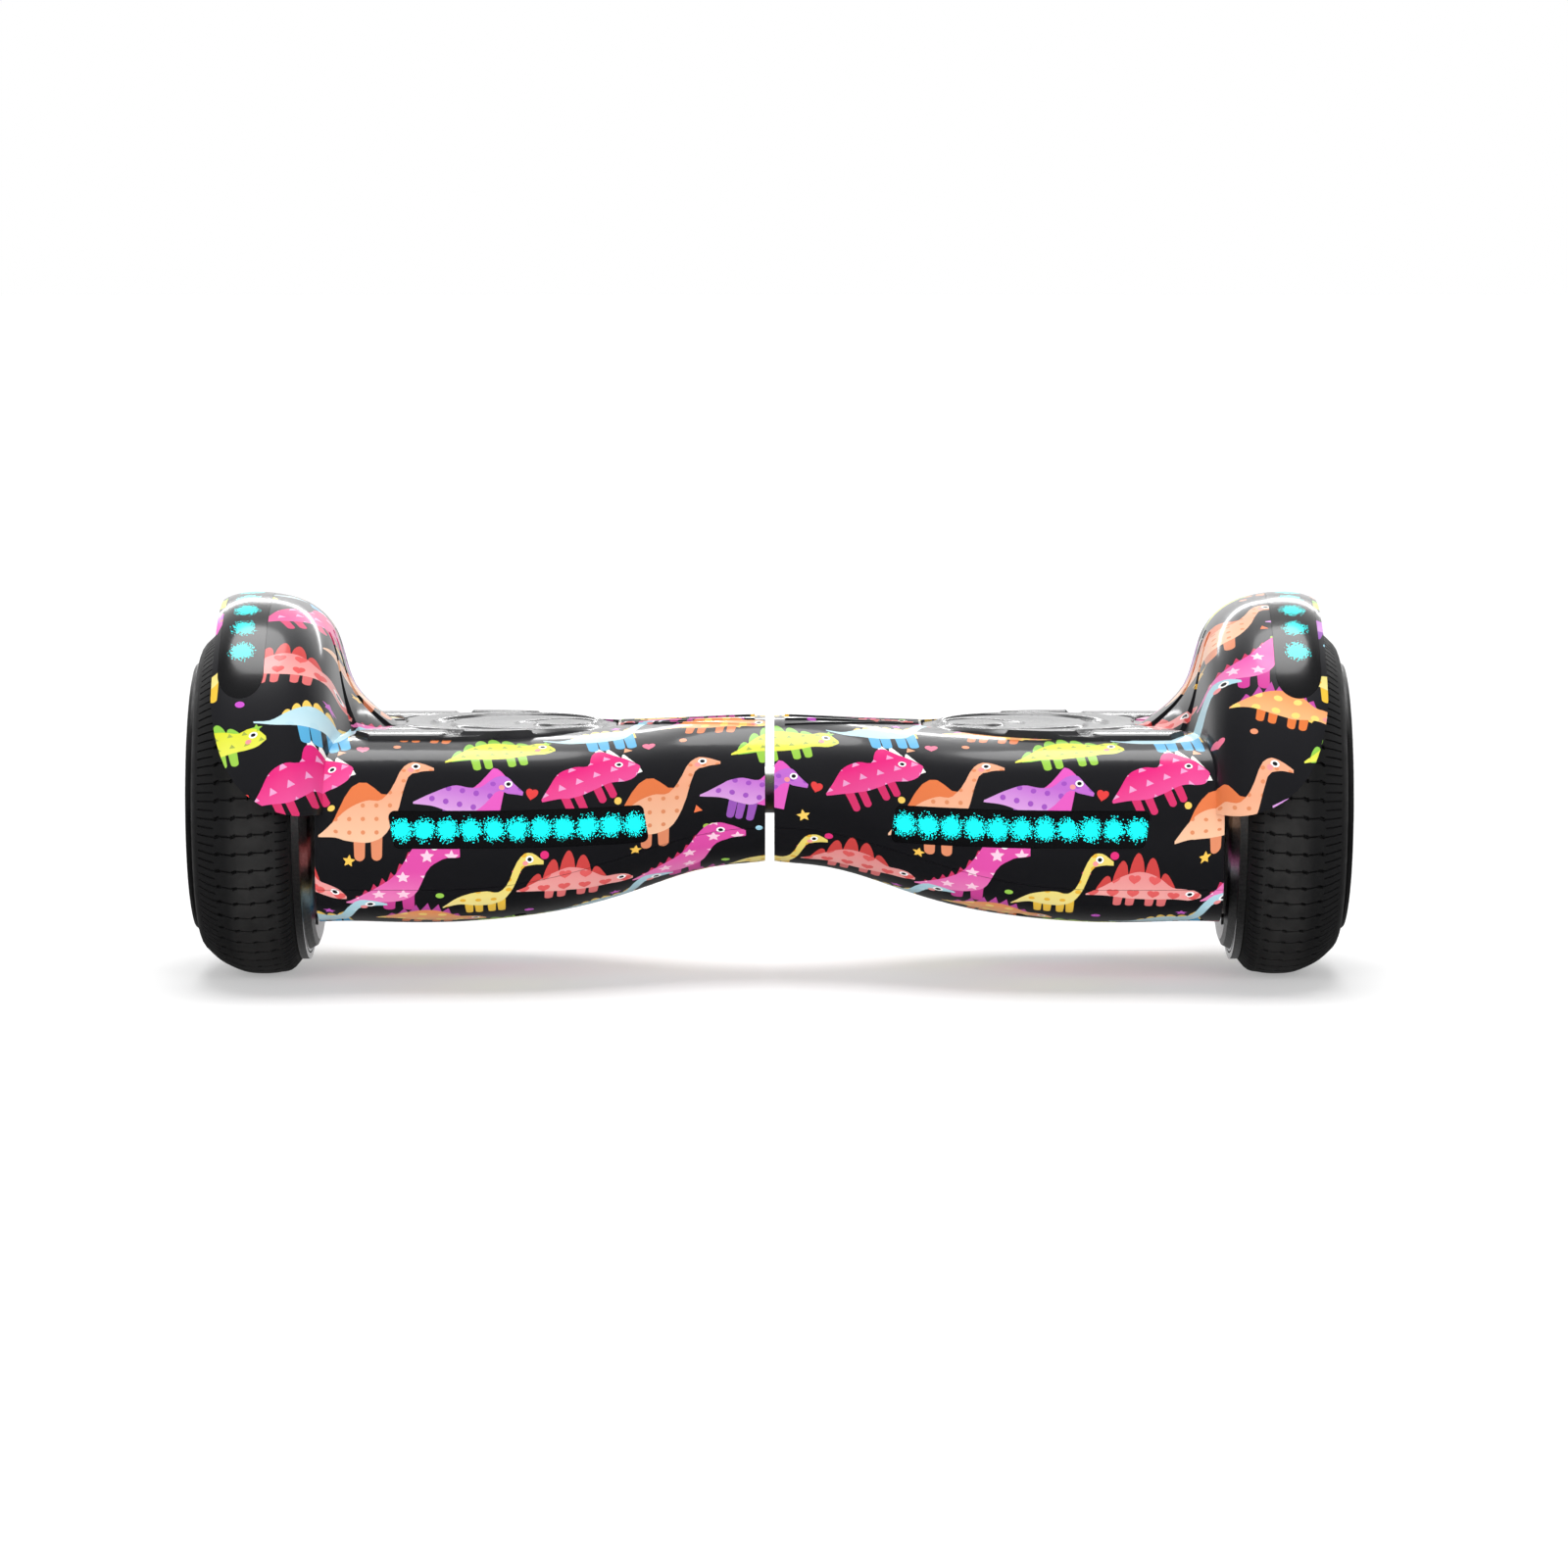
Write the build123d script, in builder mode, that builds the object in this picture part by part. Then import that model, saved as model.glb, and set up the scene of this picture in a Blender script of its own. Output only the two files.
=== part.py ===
from build123d import *
from math import cos, pi, radians, sin
import os

os.makedirs("parts", exist_ok=True)

# A two-wheeled self balancing board. X runs along the board, Y to its back, Z up, and the
# ground under the tyres is Z = 0. Each piece is drawn for the right half (+X) and mirrored
# for the left half. Driving dimensions, in millimetres.
AXLE = 85.0  # height of the wheel axles
PIVOT_RISE = 3.8  # pivot above the axles
WALL = 2.8  # moulded shell
CLEAR = 0.3  # around parts that move
PART_GAP = 0.2  # between parts that only sit beside each other
FIT = 0.04  # round shafts and bolts in their holes
END_WALL = 212.0  # outer face of the body, beside the wheel
NECK_END = 2.2  # half the gap between the two halves
FLAT_BOTTOM = -55.4  # underside, from the axle

# Across sections of the body: x, half depth, height of the widest point, top and bottom
# from the axle, and squareness (2 is round).
STATIONS = (
    (NECK_END, 34.8, 3.8, 38.5, -31.0, 2.0),
    (20, 35.8, 3.2, 38.0, -32.8, 2.05),
    (42, 44, 1, 36.6, -37.2, 2.3),
    (66, 58, -3, 35.4, -44.8, 2.8),
    (94, 71, -6, 35, -51.6, 3.4),
    (122, 78, -8, 35, -55.2, 4.0),
    (150, 80, -8, 35, -57, 4.4),
    (181, 80, -8, 35, -57, 4.4),
    (END_WALL, 80, -8, 35, -57, 4.4),
)

# Fender, as x and radius from the axle, from the deck over the crest to its outer edge.
FENDER_CREST = (
    (178, 35.2),
    (187, 41.8),
    (198, 53.5),
    (203.2, 67),
    (208.4, 81.7),
    (220.5, 92.8),
    (231.2, 96.3),
    (243, 97.6),
    (254, 96.6),
    (260, 94.2),
)
FENDER_UNDER = ((212, 72), (213.6, 81), (219, 88.5), (227, 92.2), (243, 94.5), (256, 93.5), (262, 91.5))
FENDER_EDGE = ((216, 0), (233, 4.5), (247, 15.4), (256, 32.8), (259.4, 48), (260.6, 62))

PARTING = ((0, -12), (40, -16), (80, -26), (120, -34), (150, -36), (216, -36))

# Foot pad outline seen from above, as x and half depth: inner end, bulge, side and outer corner.
PAD_INNER = (72.5, 14)
PAD_BULGE = (108, 46)
PAD_SHOULDER = (160, 58.5)
PAD_BEND = (188, 58.5)
PAD_CORNER = (195.5, 50)
PAD_HOLLOW_X = 173.5  # where the outer end curves in round the fender
PAN_FLOOR = 27.5
PAD_BOTTOM = 29.0
PAD_TOP = 34.2
PAD_TRAVEL = 1.0

TYRE_RADIUS = 85.0
BEAD_RADIUS = 58.0
SHAFT_RADIUS = 7.5
BEARING_RADIUS = 16.0
TUBE_RADIUS = 12.0
BUSH_RADIUS = 15.0

LIGHT_LOW = -16.5
LIGHT_HIGH = 1.5
LIGHT_INNER = 56.5
LIGHT_OUTER = 178.0
LIGHT_COUNT = 11
LIGHT_FIRST = 63.5
LIGHT_PITCH = 10.8
FENDER_LIGHT_X = 246.5
FENDER_LIGHT_WIDTH = 21.6
FENDER_LIGHT_TIP = 54.0

PLUNGERS = [(x, y) for x in (112, 150) for y in (-18, 18)]
SHELL_SCREWS = [(x, y) for x, y in ((60, 17), (118, 49), (201, 53))]
SHELL_SCREWS += [(x, -y) for x, y in SHELL_SCREWS]

BACK_SEAT = 78.6  # flat seat of the charging port and the power button
PORT_X = 174.0
BUTTON_X = 148.0
BACK_Z = AXLE - 8.0

AXLE_LINE = Axis((0, 0, AXLE), (1, 0, 0))
FRONT = Plane((0, 0, AXLE), x_dir=(1, 0, 0), z_dir=(0, -1, 0))  # x along the board, y up
BEHIND = FRONT.offset(-130)  # where prisms right through the board start
THROUGH = 260
SIDE = Plane((0, 0, AXLE), x_dir=(0, 1, 0), z_dir=(1, 0, 0))  # x to the back, y up


def save(name, piece):
    piece.part.label = name
    export_step(piece.part, f"parts/{name}.step")


def save_pair(name, right):
    """Writes the right half's piece and its mirror image for the left half."""
    save(f"right_{name}", right)
    with BuildPart() as left:
        mirror(right.part, about=Plane.YZ)
    save(f"left_{name}", left)


def section_points(station, inset):
    """A superellipse, boxy over the deck and rounder underneath."""
    _, depth, widest, top, bottom, squareness = station
    quarter = [radians(a) for a in (0, 4, 15, 30, 45, 60, 75)]
    angles = [turn * pi / 2 + a for turn in range(4) for a in quarter]
    points = []
    for angle in angles:
        c, s = cos(angle), sin(angle)
        power = squareness if s >= 0 else (squareness + 2.6) / 2
        height = top - widest if s >= 0 else widest - bottom
        y = (depth - inset) * abs(c) ** (2 / power) * (1 if c >= 0 else -1)
        z = widest + (height - inset) * abs(s) ** (2 / power) * (1 if s >= 0 else -1)
        points.append((y, z))
    return points


def body_form(inset, first=NECK_END, last=END_WALL):
    """The body's outer shape, shrunk by inset and cut at two places along X."""
    with BuildPart() as form:
        for station in STATIONS:
            with BuildSketch(SIDE.offset(station[0])):
                with BuildLine():
                    Spline(section_points(station, inset), periodic=True)
                make_face()
        loft()
        with BuildSketch(BEHIND):
            with Locations(((first + last) / 2, 50 + FLAT_BOTTOM + inset)):
                Rectangle(last - first, 100)
        extrude(amount=THROUGH, mode=Mode.INTERSECT)
    return form.part


def around_axle(points, closing):
    """A solid of revolution about the axle from a smooth line and straight closing corners."""
    with BuildPart() as ring:
        with BuildSketch(FRONT):
            with BuildLine():
                Spline(points)
                Polyline(points[-1], *closing, points[0])
            make_face()
        revolve(axis=AXLE_LINE)
    return ring.part.rotate(AXLE_LINE, 180)  # its seam faces the ground


def upright(points):
    """A prism along Y from corners given as x and height above the axle."""
    with BuildPart() as prism:
        with BuildSketch(BEHIND):
            with BuildLine():
                Polyline(*points, close=True)
            make_face()
        extrude(amount=THROUGH)
    return prism.part


def mirrored(point):
    return (point[0], -point[1])


def pad_outline(grow, low, high):
    """A prism of the foot pad's outline, grown sideways, between two heights over the axle."""
    with BuildPart() as prism:
        with BuildSketch(Plane.XY.offset(AXLE + low)):
            with BuildLine():
                ThreePointArc(mirrored(PAD_CORNER), (PAD_HOLLOW_X, 0), PAD_CORNER)
                Polyline(PAD_CORNER, PAD_BEND, PAD_SHOULDER)
                ThreePointArc(PAD_SHOULDER, PAD_BULGE, PAD_INNER)
                Line(PAD_INNER, mirrored(PAD_INNER))
                ThreePointArc(mirrored(PAD_INNER), mirrored(PAD_BULGE), mirrored(PAD_SHOULDER))
                Polyline(*[mirrored(corner) for corner in (PAD_SHOULDER, PAD_BEND, PAD_CORNER)])
            make_face()
            if grow:
                offset(amount=grow)
        extrude(amount=high - low)
    return prism.part


def side_region(upper):
    """Everything above or below the parting line of the two mouldings."""
    shift = 0 if upper else -PART_GAP
    far = 130 if upper else -90
    with BuildPart() as region:
        with BuildSketch(BEHIND):
            with BuildLine():
                seam = Spline([(x, z + shift) for x, z in PARTING])
                Polyline(seam @ 1, (300, PARTING[-1][1] + shift), (300, far), (0, far), seam @ 0)
            make_face()
        extrude(amount=THROUGH)
    return region.part


def front_light_prism(gap):
    """Slanted window of the front light, shrunk by a gap."""
    with BuildPart() as prism:
        with BuildSketch(FRONT) as window:
            with BuildLine():
                Polyline(
                    (LIGHT_INNER, LIGHT_LOW),
                    (LIGHT_OUTER - 3, LIGHT_LOW),
                    (LIGHT_OUTER, LIGHT_HIGH),
                    (LIGHT_INNER + 3, LIGHT_HIGH),
                    close=True,
                )
            make_face()
            fillet(window.vertices(), radius=3)
            if gap:
                offset(amount=-gap)
        extrude(amount=120)
    return prism.part


def fender_light_prism(gap):
    """Tall round-ended window over the fender, open at the top."""
    with BuildPart() as prism:
        with BuildSketch(BEHIND):
            with Locations((FENDER_LIGHT_X, FENDER_LIGHT_TIP + 60)):
                SlotOverall(120, FENDER_LIGHT_WIDTH - 2 * gap, rotation=90)
        extrude(amount=THROUGH)
    return prism.part


# The skin of one half before it is parted: body and fender, hollowed.
body = body_form(0)
fender = around_axle(FENDER_CREST, ((260, 30), (178, 30)))
with BuildPart() as fender_keep:
    with BuildSketch(BEHIND):
        with BuildLine():
            edge = Spline(FENDER_EDGE)
            Polyline(edge @ 1, (260.6, 110), (170, 110), (170, 0), edge @ 0)
        make_face()
    extrude(amount=THROUGH)
cheek_void = around_axle(((182, 33), (189, 39.6), (200.6, 51.5), (206, 65.5), (209, 74.5)), ((209, 20), (182, 20)))
wheel_well = around_axle(FENDER_UNDER, ((262, 0), (212, 0)))

with BuildPart() as outside:
    add(fender)
    add(fender_keep.part, mode=Mode.INTERSECT)
    add(body)
    add(wheel_well, mode=Mode.SUBTRACT)

with BuildPart() as cheek_hollow:
    add(cheek_void)
    add(upright(((170, 25), (220, 25), (220, 110), (170, 110))), mode=Mode.INTERSECT)

with BuildPart() as skin:
    add(outside.part)
    add(body_form(WALL, NECK_END + 3, END_WALL - 3), mode=Mode.SUBTRACT)
    add(cheek_hollow.part, mode=Mode.SUBTRACT)
PAN_LOW = PAN_FLOOR - WALL
PAN_RIM = 30.5  # just inside the skin over the pad's edge

# Grooves that run down the fender's inner slope and leave five soft flutes.
GROOVE_DEPTH = 1.1
groove_floor = [(x + GROOVE_DEPTH, radius - GROOVE_DEPTH) for x, radius in FENDER_CREST[:5]]
groove_limit = around_axle(groove_floor, ((213, 80), (213, 20), (179, 20)))
with BuildPart() as grooves:
    for foot, head in ((-38, -19), (-14, -7), (14, 7), (38, 19)):
        with BuildSketch(SIDE.offset(170)):
            with BuildLine():
                Polyline((foot - 3.2, 30), (foot + 3.2, 30), (head + 1.6, 80), (head - 1.6, 80), close=True)
            make_face()
        extrude(amount=39)
    add(groove_limit, mode=Mode.SUBTRACT)

# Ribs that run along the top of the neck towards the foot pad.
with BuildPart() as neck_ribs:
    add(body_form(-0.7, NECK_END + 5, 71))
    with BuildSketch(Plane.XY.offset(AXLE)):
        with BuildLine():
            Polyline((0, -15), (71, -9), (71, 9), (0, 15), close=True)
        make_face()
        for near, far in ((-11.5, -7), (-4, -2.3), (4, 2.3), (11.5, 7)):
            with BuildLine():
                Polyline((0, near - 3), (71, far - 1.6), (71, far + 1.6), (0, near + 3), close=True)
            make_face(mode=Mode.SUBTRACT)
    extrude(amount=60, mode=Mode.INTERSECT)
    add(body_form(1, NECK_END, 80), mode=Mode.SUBTRACT)

with BuildPart() as shell:
    add(skin.part)
    add(neck_ribs.part)
    add(pad_outline(WALL, PAN_LOW, PAN_RIM))
    add(pad_outline(CLEAR, PAN_FLOOR, 60), mode=Mode.SUBTRACT)
    add(grooves.part, mode=Mode.SUBTRACT)
    with Locations([(x, y, AXLE + PAN_LOW) for x, y in PLUNGERS]):
        Cylinder(5.3, 12, mode=Mode.SUBTRACT)
    with BuildSketch(SIDE.offset(NECK_END)):
        with Locations((0, PIVOT_RISE)):
            Circle(BUSH_RADIUS + 1)
    extrude(amount=4, mode=Mode.SUBTRACT)
    with BuildSketch(SIDE.offset(END_WALL - 4)):
        Circle(SHAFT_RADIUS + 3)
    extrude(amount=5, mode=Mode.SUBTRACT)

# The two mouldings of a half, with the light windows and the screw holes.
with BuildPart() as upper_shell:
    add(shell.part)
    add(side_region(True), mode=Mode.INTERSECT)
    add(front_light_prism(0), mode=Mode.SUBTRACT)
    add(fender_light_prism(0), mode=Mode.SUBTRACT)

# The right half's upper shell also has a flat seat for the charging port and the button.
SEAT_X = (PORT_X + BUTTON_X) / 2
with BuildPart() as right_upper_shell:
    add(upper_shell.part)
    with Locations((SEAT_X, BACK_SEAT - 1.7, BACK_Z)):
        Box(60, 3.4, 30)
    with Locations((SEAT_X, BACK_SEAT + 5, BACK_Z)):
        Box(52, 10, 27, mode=Mode.SUBTRACT)
    with Locations([(x, BACK_SEAT, BACK_Z) for x in (PORT_X, BUTTON_X)]):
        Cylinder(7.6, 20, rotation=(90, 0, 0), mode=Mode.SUBTRACT)
save("right_upper_shell", right_upper_shell)
with BuildPart() as left_upper_shell:
    mirror(upper_shell.part, about=Plane.YZ)
save("left_upper_shell", left_upper_shell)

BOSS_TOP = -12.2
with BuildPart() as lower_shell:
    add(shell.part)
    add(side_region(False), mode=Mode.INTERSECT)
    with Locations([(x, y, AXLE + BOSS_TOP) for x, y in SHELL_SCREWS]):
        Cylinder(5, 40, align=(Align.CENTER, Align.CENTER, Align.MAX))
    add(body, mode=Mode.INTERSECT)
    with Locations([(x, y, AXLE - 20) for x, y in SHELL_SCREWS]):
        Cylinder(3.5, 50, align=(Align.CENTER, Align.CENTER, Align.MAX), mode=Mode.SUBTRACT)
        Cylinder(1.7, 40, mode=Mode.SUBTRACT)
save_pair("lower_shell", lower_shell)

with BuildPart() as shell_screws:
    with Locations([(x, y, AXLE - 20) for x, y in SHELL_SCREWS]):
        Cylinder(3.2, 2.4, align=(Align.CENTER, Align.CENTER, Align.MAX))
        Cylinder(1.6, 12.6, align=(Align.CENTER, Align.CENTER, Align.MIN))
    with Locations([(x, y, AXLE - 22.4) for x, y in SHELL_SCREWS]):
        Box(3.6, 0.9, 2.0, mode=Mode.SUBTRACT)
        Box(0.9, 3.6, 2.0, mode=Mode.SUBTRACT)
save_pair("shell_screws", shell_screws)

# Front light: smoked lens in the window, and a strip with its lamps behind it.
light_x = [LIGHT_FIRST + i * LIGHT_PITCH for i in range(LIGHT_COUNT)]
light_middle = (LIGHT_LOW + LIGHT_HIGH) / 2
with BuildPart() as front_light_lens:
    add(body_form(0.1, 40, 190))
    add(front_light_prism(PART_GAP / 2), mode=Mode.INTERSECT)
    add(body_form(WALL, 30, 200), mode=Mode.SUBTRACT)
save_pair("front_light_lens", front_light_lens)

with BuildPart() as front_light_strip:
    add(body_form(WALL + 1.0, 40, 190))
    with BuildSketch(FRONT):
        with Locations([(x, light_middle) for x in light_x]):
            Rectangle(5, 5)
    extrude(amount=120, mode=Mode.INTERSECT)
    add(body_form(WALL + 2.2, 30, 200), mode=Mode.SUBTRACT)
    front_lamps = front_light_strip.part
with BuildPart() as front_light_board:
    add(body_form(WALL + 2.0, 40, 190))
    with BuildSketch(FRONT):
        with Locations(((LIGHT_INNER + LIGHT_OUTER) / 2, light_middle)):
            Rectangle(LIGHT_OUTER - LIGHT_INNER - 6, 11)
    extrude(amount=120, mode=Mode.INTERSECT)
    add(body_form(WALL + 3.4, 30, 200), mode=Mode.SUBTRACT)
    add(front_lamps)
save_pair("front_light_board", front_light_board)

# Fender light: smoked lens over the crest, with a lamp strip and its cover in the wheel well.
with BuildPart() as fender_light_lens:
    add(fender)
    add(fender_light_prism(PART_GAP / 2), mode=Mode.INTERSECT)
    add(wheel_well, mode=Mode.SUBTRACT)
save_pair("fender_light_lens", fender_light_lens)


def fender_arc(width, low_radius, high_radius, half_angle):
    """A curved bar in the wheel well under the fender light."""
    with BuildPart() as arc:
        with BuildSketch(FRONT):
            with Locations((FENDER_LIGHT_X, (low_radius + high_radius) / 2)):
                Rectangle(width, high_radius - low_radius)
        revolve(axis=AXLE_LINE, revolution_arc=2 * half_angle)
    return arc.part.rotate(AXLE_LINE, -half_angle)


FENDER_LAMP_ANGLES = [step * 10 for step in range(-4, 5)]
with BuildPart() as fender_light_board:
    add(fender_arc(12, 91.6, 92.4, 48))
    for angle in FENDER_LAMP_ANGLES:
        add(fender_arc(5, 92.4, 93.3, 1.5).rotate(AXLE_LINE, angle))
save_pair("fender_light_board", fender_light_board)
with BuildPart() as fender_light_cover:
    add(fender_arc(23, 90.2, 92.4, 56))
    add(fender_arc(19, 91.4, 92.6, 54), mode=Mode.SUBTRACT)
save_pair("fender_light_cover", fender_light_cover)

# Rubber foot pad with its flutes, nested ovals and edge bars.
with BuildPart() as pad_flutes:
    with BuildSketch(SIDE.offset(150)):
        for y in (-48, -25, 0, 25, 48):
            with Locations((y, PAD_TOP - 1)):
                Ellipse(10.8, 3.0)
    extrude(amount=60)
    add(pad_outline(-0.4, PAD_TOP - 2, 45), mode=Mode.INTERSECT)
    with BuildSketch(Plane.XY.offset(AXLE)):
        with Locations((126, 0)):
            Ellipse(53, 47)
    extrude(amount=60, mode=Mode.SUBTRACT)


def oval(left, right, half_depth, low, high):
    """An upright oval plate between two x values."""
    with BuildPart() as plate:
        with BuildSketch(Plane.XY.offset(AXLE + low)):
            with Locations(((left + right) / 2, 0)):
                Ellipse((right - left) / 2, half_depth)
        extrude(amount=high - low)
    return plate.part


with BuildPart() as pad_relief:
    with Locations((128, 0, AXLE + PAD_TOP)):
        Box(34, 112, 4.4)
    add(oval(76, 179, 49, PAD_TOP - 1, PAD_TOP + 1.9))
    add(pad_flutes.part)
    add(pad_outline(-0.5, PAD_TOP - 3, 45), mode=Mode.INTERSECT)
    add(oval(77, 163.5, 41.5, PAD_TOP, PAD_TOP + 3), mode=Mode.SUBTRACT)
with BuildPart() as foot_pad:
    add(pad_outline(0, PAD_BOTTOM, PAD_TOP))
    add(pad_relief.part)
    add(oval(78.5, 154, 36, PAD_TOP - 2, PAD_TOP + 0.9))
    add(oval(80, 121, 20, PAD_TOP - 0.3, PAD_TOP + 3), mode=Mode.SUBTRACT)
    add(oval(81.5, 115, 16, PAD_TOP - 2, PAD_TOP + 1.0))
save_pair("foot_pad", foot_pad)

PLUNGER_TIP = 12.0
with BuildPart() as pad_plungers:
    with Locations([(x, y, AXLE + PLUNGER_TIP) for x, y in PLUNGERS]):
        Cylinder(3, PAD_BOTTOM - PLUNGER_TIP, align=(Align.CENTER, Align.CENTER, Align.MIN))
    with Locations([(x, y, AXLE + PAD_BOTTOM) for x, y in PLUNGERS]):
        Cylinder(4.2, 6, align=(Align.CENTER, Align.CENTER, Align.MAX))
save_pair("pad_plungers", pad_plungers)

BOARD_TOP = 7.6
with BuildPart() as sensor_board:
    with Locations((131, 0, AXLE + BOARD_TOP)):
        Box(66, 56, 1.6, align=(Align.CENTER, Align.CENTER, Align.MAX))
    with Locations([(x, y + side * 5.6, AXLE + BOARD_TOP) for x, y in PLUNGERS for side in (-1, 1)]):
        Box(7, 3.6, 6.4, align=(Align.CENTER, Align.CENTER, Align.MIN))
    with Locations((131, 0, AXLE + BOARD_TOP)):
        Box(9, 9, 1.4, align=(Align.CENTER, Align.CENTER, Align.MIN))
    with Locations((131, 21, AXLE + BOARD_TOP)):
        Box(14, 6, 5, align=(Align.CENTER, Align.CENTER, Align.MIN))
    with Locations([(x, y, AXLE) for x in (102, 160) for y in (-24, 24)]):
        Cylinder(1.6, 30, mode=Mode.SUBTRACT)
save_pair("sensor_board", sensor_board)

# Cast frame: plate, pivot socket, ribs, board posts and the lower half of the axle clamp.
CLAMP_X = 191.0
CLAMP_BOLTS = [(CLAMP_X + x, y) for x in (-8, 8) for y in (-14, 14)]


def frame(socket_bore):
    with BuildPart() as casting:
        with BuildSketch(Plane.XY.offset(AXLE - 12)):
            with BuildLine():
                Polyline((12, 20), (42, 22), (78, 38), (104, 54), (114, 60), (206, 60), (206, 0), (12, 0), close=True)
            make_face()
            mirror(about=Plane.XZ)
        extrude(amount=5)
        with Locations((37, 0, AXLE - 12)):
            Box(46, 20, 8, align=(Align.CENTER, Align.CENTER, Align.MIN))
        with BuildSketch(SIDE.offset(12)):
            with Locations((0, PIVOT_RISE)):
                Circle(19)
        extrude(amount=46)
        with Locations([(145, y, AXLE - 8) for y in (-42, 42)]):
            Box(100, 4, 12, align=(Align.CENTER, Align.CENTER, Align.MIN))
        with Locations((CLAMP_X, 0, AXLE - 12)):
            Box(30, 42, 12, align=(Align.CENTER, Align.CENTER, Align.MIN))
        with Locations([(x, y, AXLE - 8) for x in (102, 160) for y in (-24, 24)]):
            Cylinder(3.2, 14, align=(Align.CENTER, Align.CENTER, Align.MIN))
        with BuildSketch(SIDE.offset(0)):
            with Locations((0, PIVOT_RISE)):
                Circle(socket_bore)
        extrude(amount=60, mode=Mode.SUBTRACT)
        with BuildSketch(SIDE.offset(58.1)):
            with Locations((0, PIVOT_RISE)):
                Circle(18)
        extrude(amount=8, mode=Mode.SUBTRACT)
        with BuildSketch(SIDE.offset(150)):
            Circle(SHAFT_RADIUS + FIT)
        extrude(amount=60, mode=Mode.SUBTRACT)
        with Locations([(x, y, AXLE - 6) for x, y in CLAMP_BOLTS]):
            Cylinder(2 + FIT, 20, mode=Mode.SUBTRACT)
        with Locations([(x, y, AXLE - 10) for x, y in SHELL_SCREWS]):
            Cylinder(1.6, 10, mode=Mode.SUBTRACT)
    return casting


save("right_frame", frame(BUSH_RADIUS))
with BuildPart() as left_frame:
    mirror(frame(TUBE_RADIUS).part, about=Plane.YZ)
save("left_frame", left_frame)

with BuildPart() as axle_clamp:
    with Locations((CLAMP_X, 0, AXLE + 0.4)):
        Box(30, 42, 13, align=(Align.CENTER, Align.CENTER, Align.MIN))
    fillet(axle_clamp.edges().filter_by(Axis.Z), radius=3)
    chamfer(axle_clamp.faces().sort_by(Axis.Z)[-1].edges(), length=1.5)
    with BuildSketch(SIDE.offset(170)):
        Circle(SHAFT_RADIUS + FIT)
    extrude(amount=40, mode=Mode.SUBTRACT)
    with Locations([(x, y, AXLE) for x, y in CLAMP_BOLTS]):
        Cylinder(2 + FIT, 60, mode=Mode.SUBTRACT)
save_pair("axle_clamp", axle_clamp)

with BuildPart() as clamp_bolts:
    with Locations([(x, y, AXLE + 13.4) for x, y in CLAMP_BOLTS]):
        Cylinder(3.5, 4, align=(Align.CENTER, Align.CENTER, Align.MIN))
        Cylinder(2, 24, align=(Align.CENTER, Align.CENTER, Align.MAX))
    with BuildSketch(Plane.XY.offset(AXLE + 15)):
        with Locations(CLAMP_BOLTS):
            RegularPolygon(1.8, 6)
    extrude(amount=4, mode=Mode.SUBTRACT)
save_pair("clamp_bolts", clamp_bolts)


def turned(*corners):
    """A turned piece about the axle from corners given as x and radius."""
    with BuildPart() as piece:
        with BuildSketch(FRONT):
            with BuildLine():
                Polyline(*corners, close=True)
            make_face()
        revolve(axis=AXLE_LINE)
    return piece.part


def tube(first, last, inner, outer):
    return turned((first, inner), (last, inner), (last, outer), (first, outer))


# Wheel: tyre on the motor's drum, with its caps, magnets and bearings.
COVER_FACE = 219.6
COVER_DOME = 215.0  # the cover's raised face, beside the body's end wall
COVER_SCREW_CIRCLE = 64.0
TREAD_BLOCKS = 60  # across the crown, each with a flat top, one of them on the ground at rest
TREAD_CROWN = TYRE_RADIUS + 0.3  # before the tops are cut flat
with BuildPart() as tyre:
    with BuildSketch(FRONT):
        with BuildLine():
            crown = Spline(
                (223.2, 77.5), (227, 82.2), (234, 84.4), (242, TREAD_CROWN), (250, 84.2), (256, 82), (263, 78), (268.4, 73)
            )
            Polyline(crown @ 1, (270.6, 69), (269.4, 64.4), (266, 62.5), (266, BEAD_RADIUS), (223.2, BEAD_RADIUS), crown @ 0)
        make_face()
    revolve(axis=AXLE_LINE)
    with BuildSketch(SIDE.offset(220)):
        RegularPolygon(TYRE_RADIUS, TREAD_BLOCKS, major_radius=False, rotation=180 / TREAD_BLOCKS)
    extrude(amount=60, mode=Mode.INTERSECT)
save_pair("tyre", tyre)

with BuildPart() as wheel_rim:
    add(tube(223.2, 266, 53, BEAD_RADIUS))
    add(tube(262, 266, BEARING_RADIUS, 53.5))
    add(tube(254, 262, BEARING_RADIUS, 20))
    add(tube(263.5, 266, SHAFT_RADIUS + 1, BEARING_RADIUS))
    add(tube(221.2, 223.2, 53, 78))
    add(tube(COVER_FACE, 221.2, 75.2, 78))
    with BuildSketch(SIDE.offset(220)):
        with PolarLocations(COVER_SCREW_CIRCLE, 6):
            Circle(1.5 + FIT)
    extrude(amount=4, mode=Mode.SUBTRACT)
save_pair("wheel_rim", wheel_rim)

with BuildPart() as hub_cap:
    add(
        turned(
            (266.2, 0), (266.2, 61.6), (269.6, 64), (272.2, 64), (273.6, 62.8), (274, 61), (274, 50), (272.8, 47.5),
            (272.8, 30), (273.6, 28), (273.6, 0),
        )
    )
    with BuildSketch(SIDE.offset(272)):
        with PolarLocations(38.8, 6):
            SlotOverall(13, 5, rotation=90)
    extrude(amount=3, mode=Mode.SUBTRACT)
save_pair("hub_cap", hub_cap)

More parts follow.
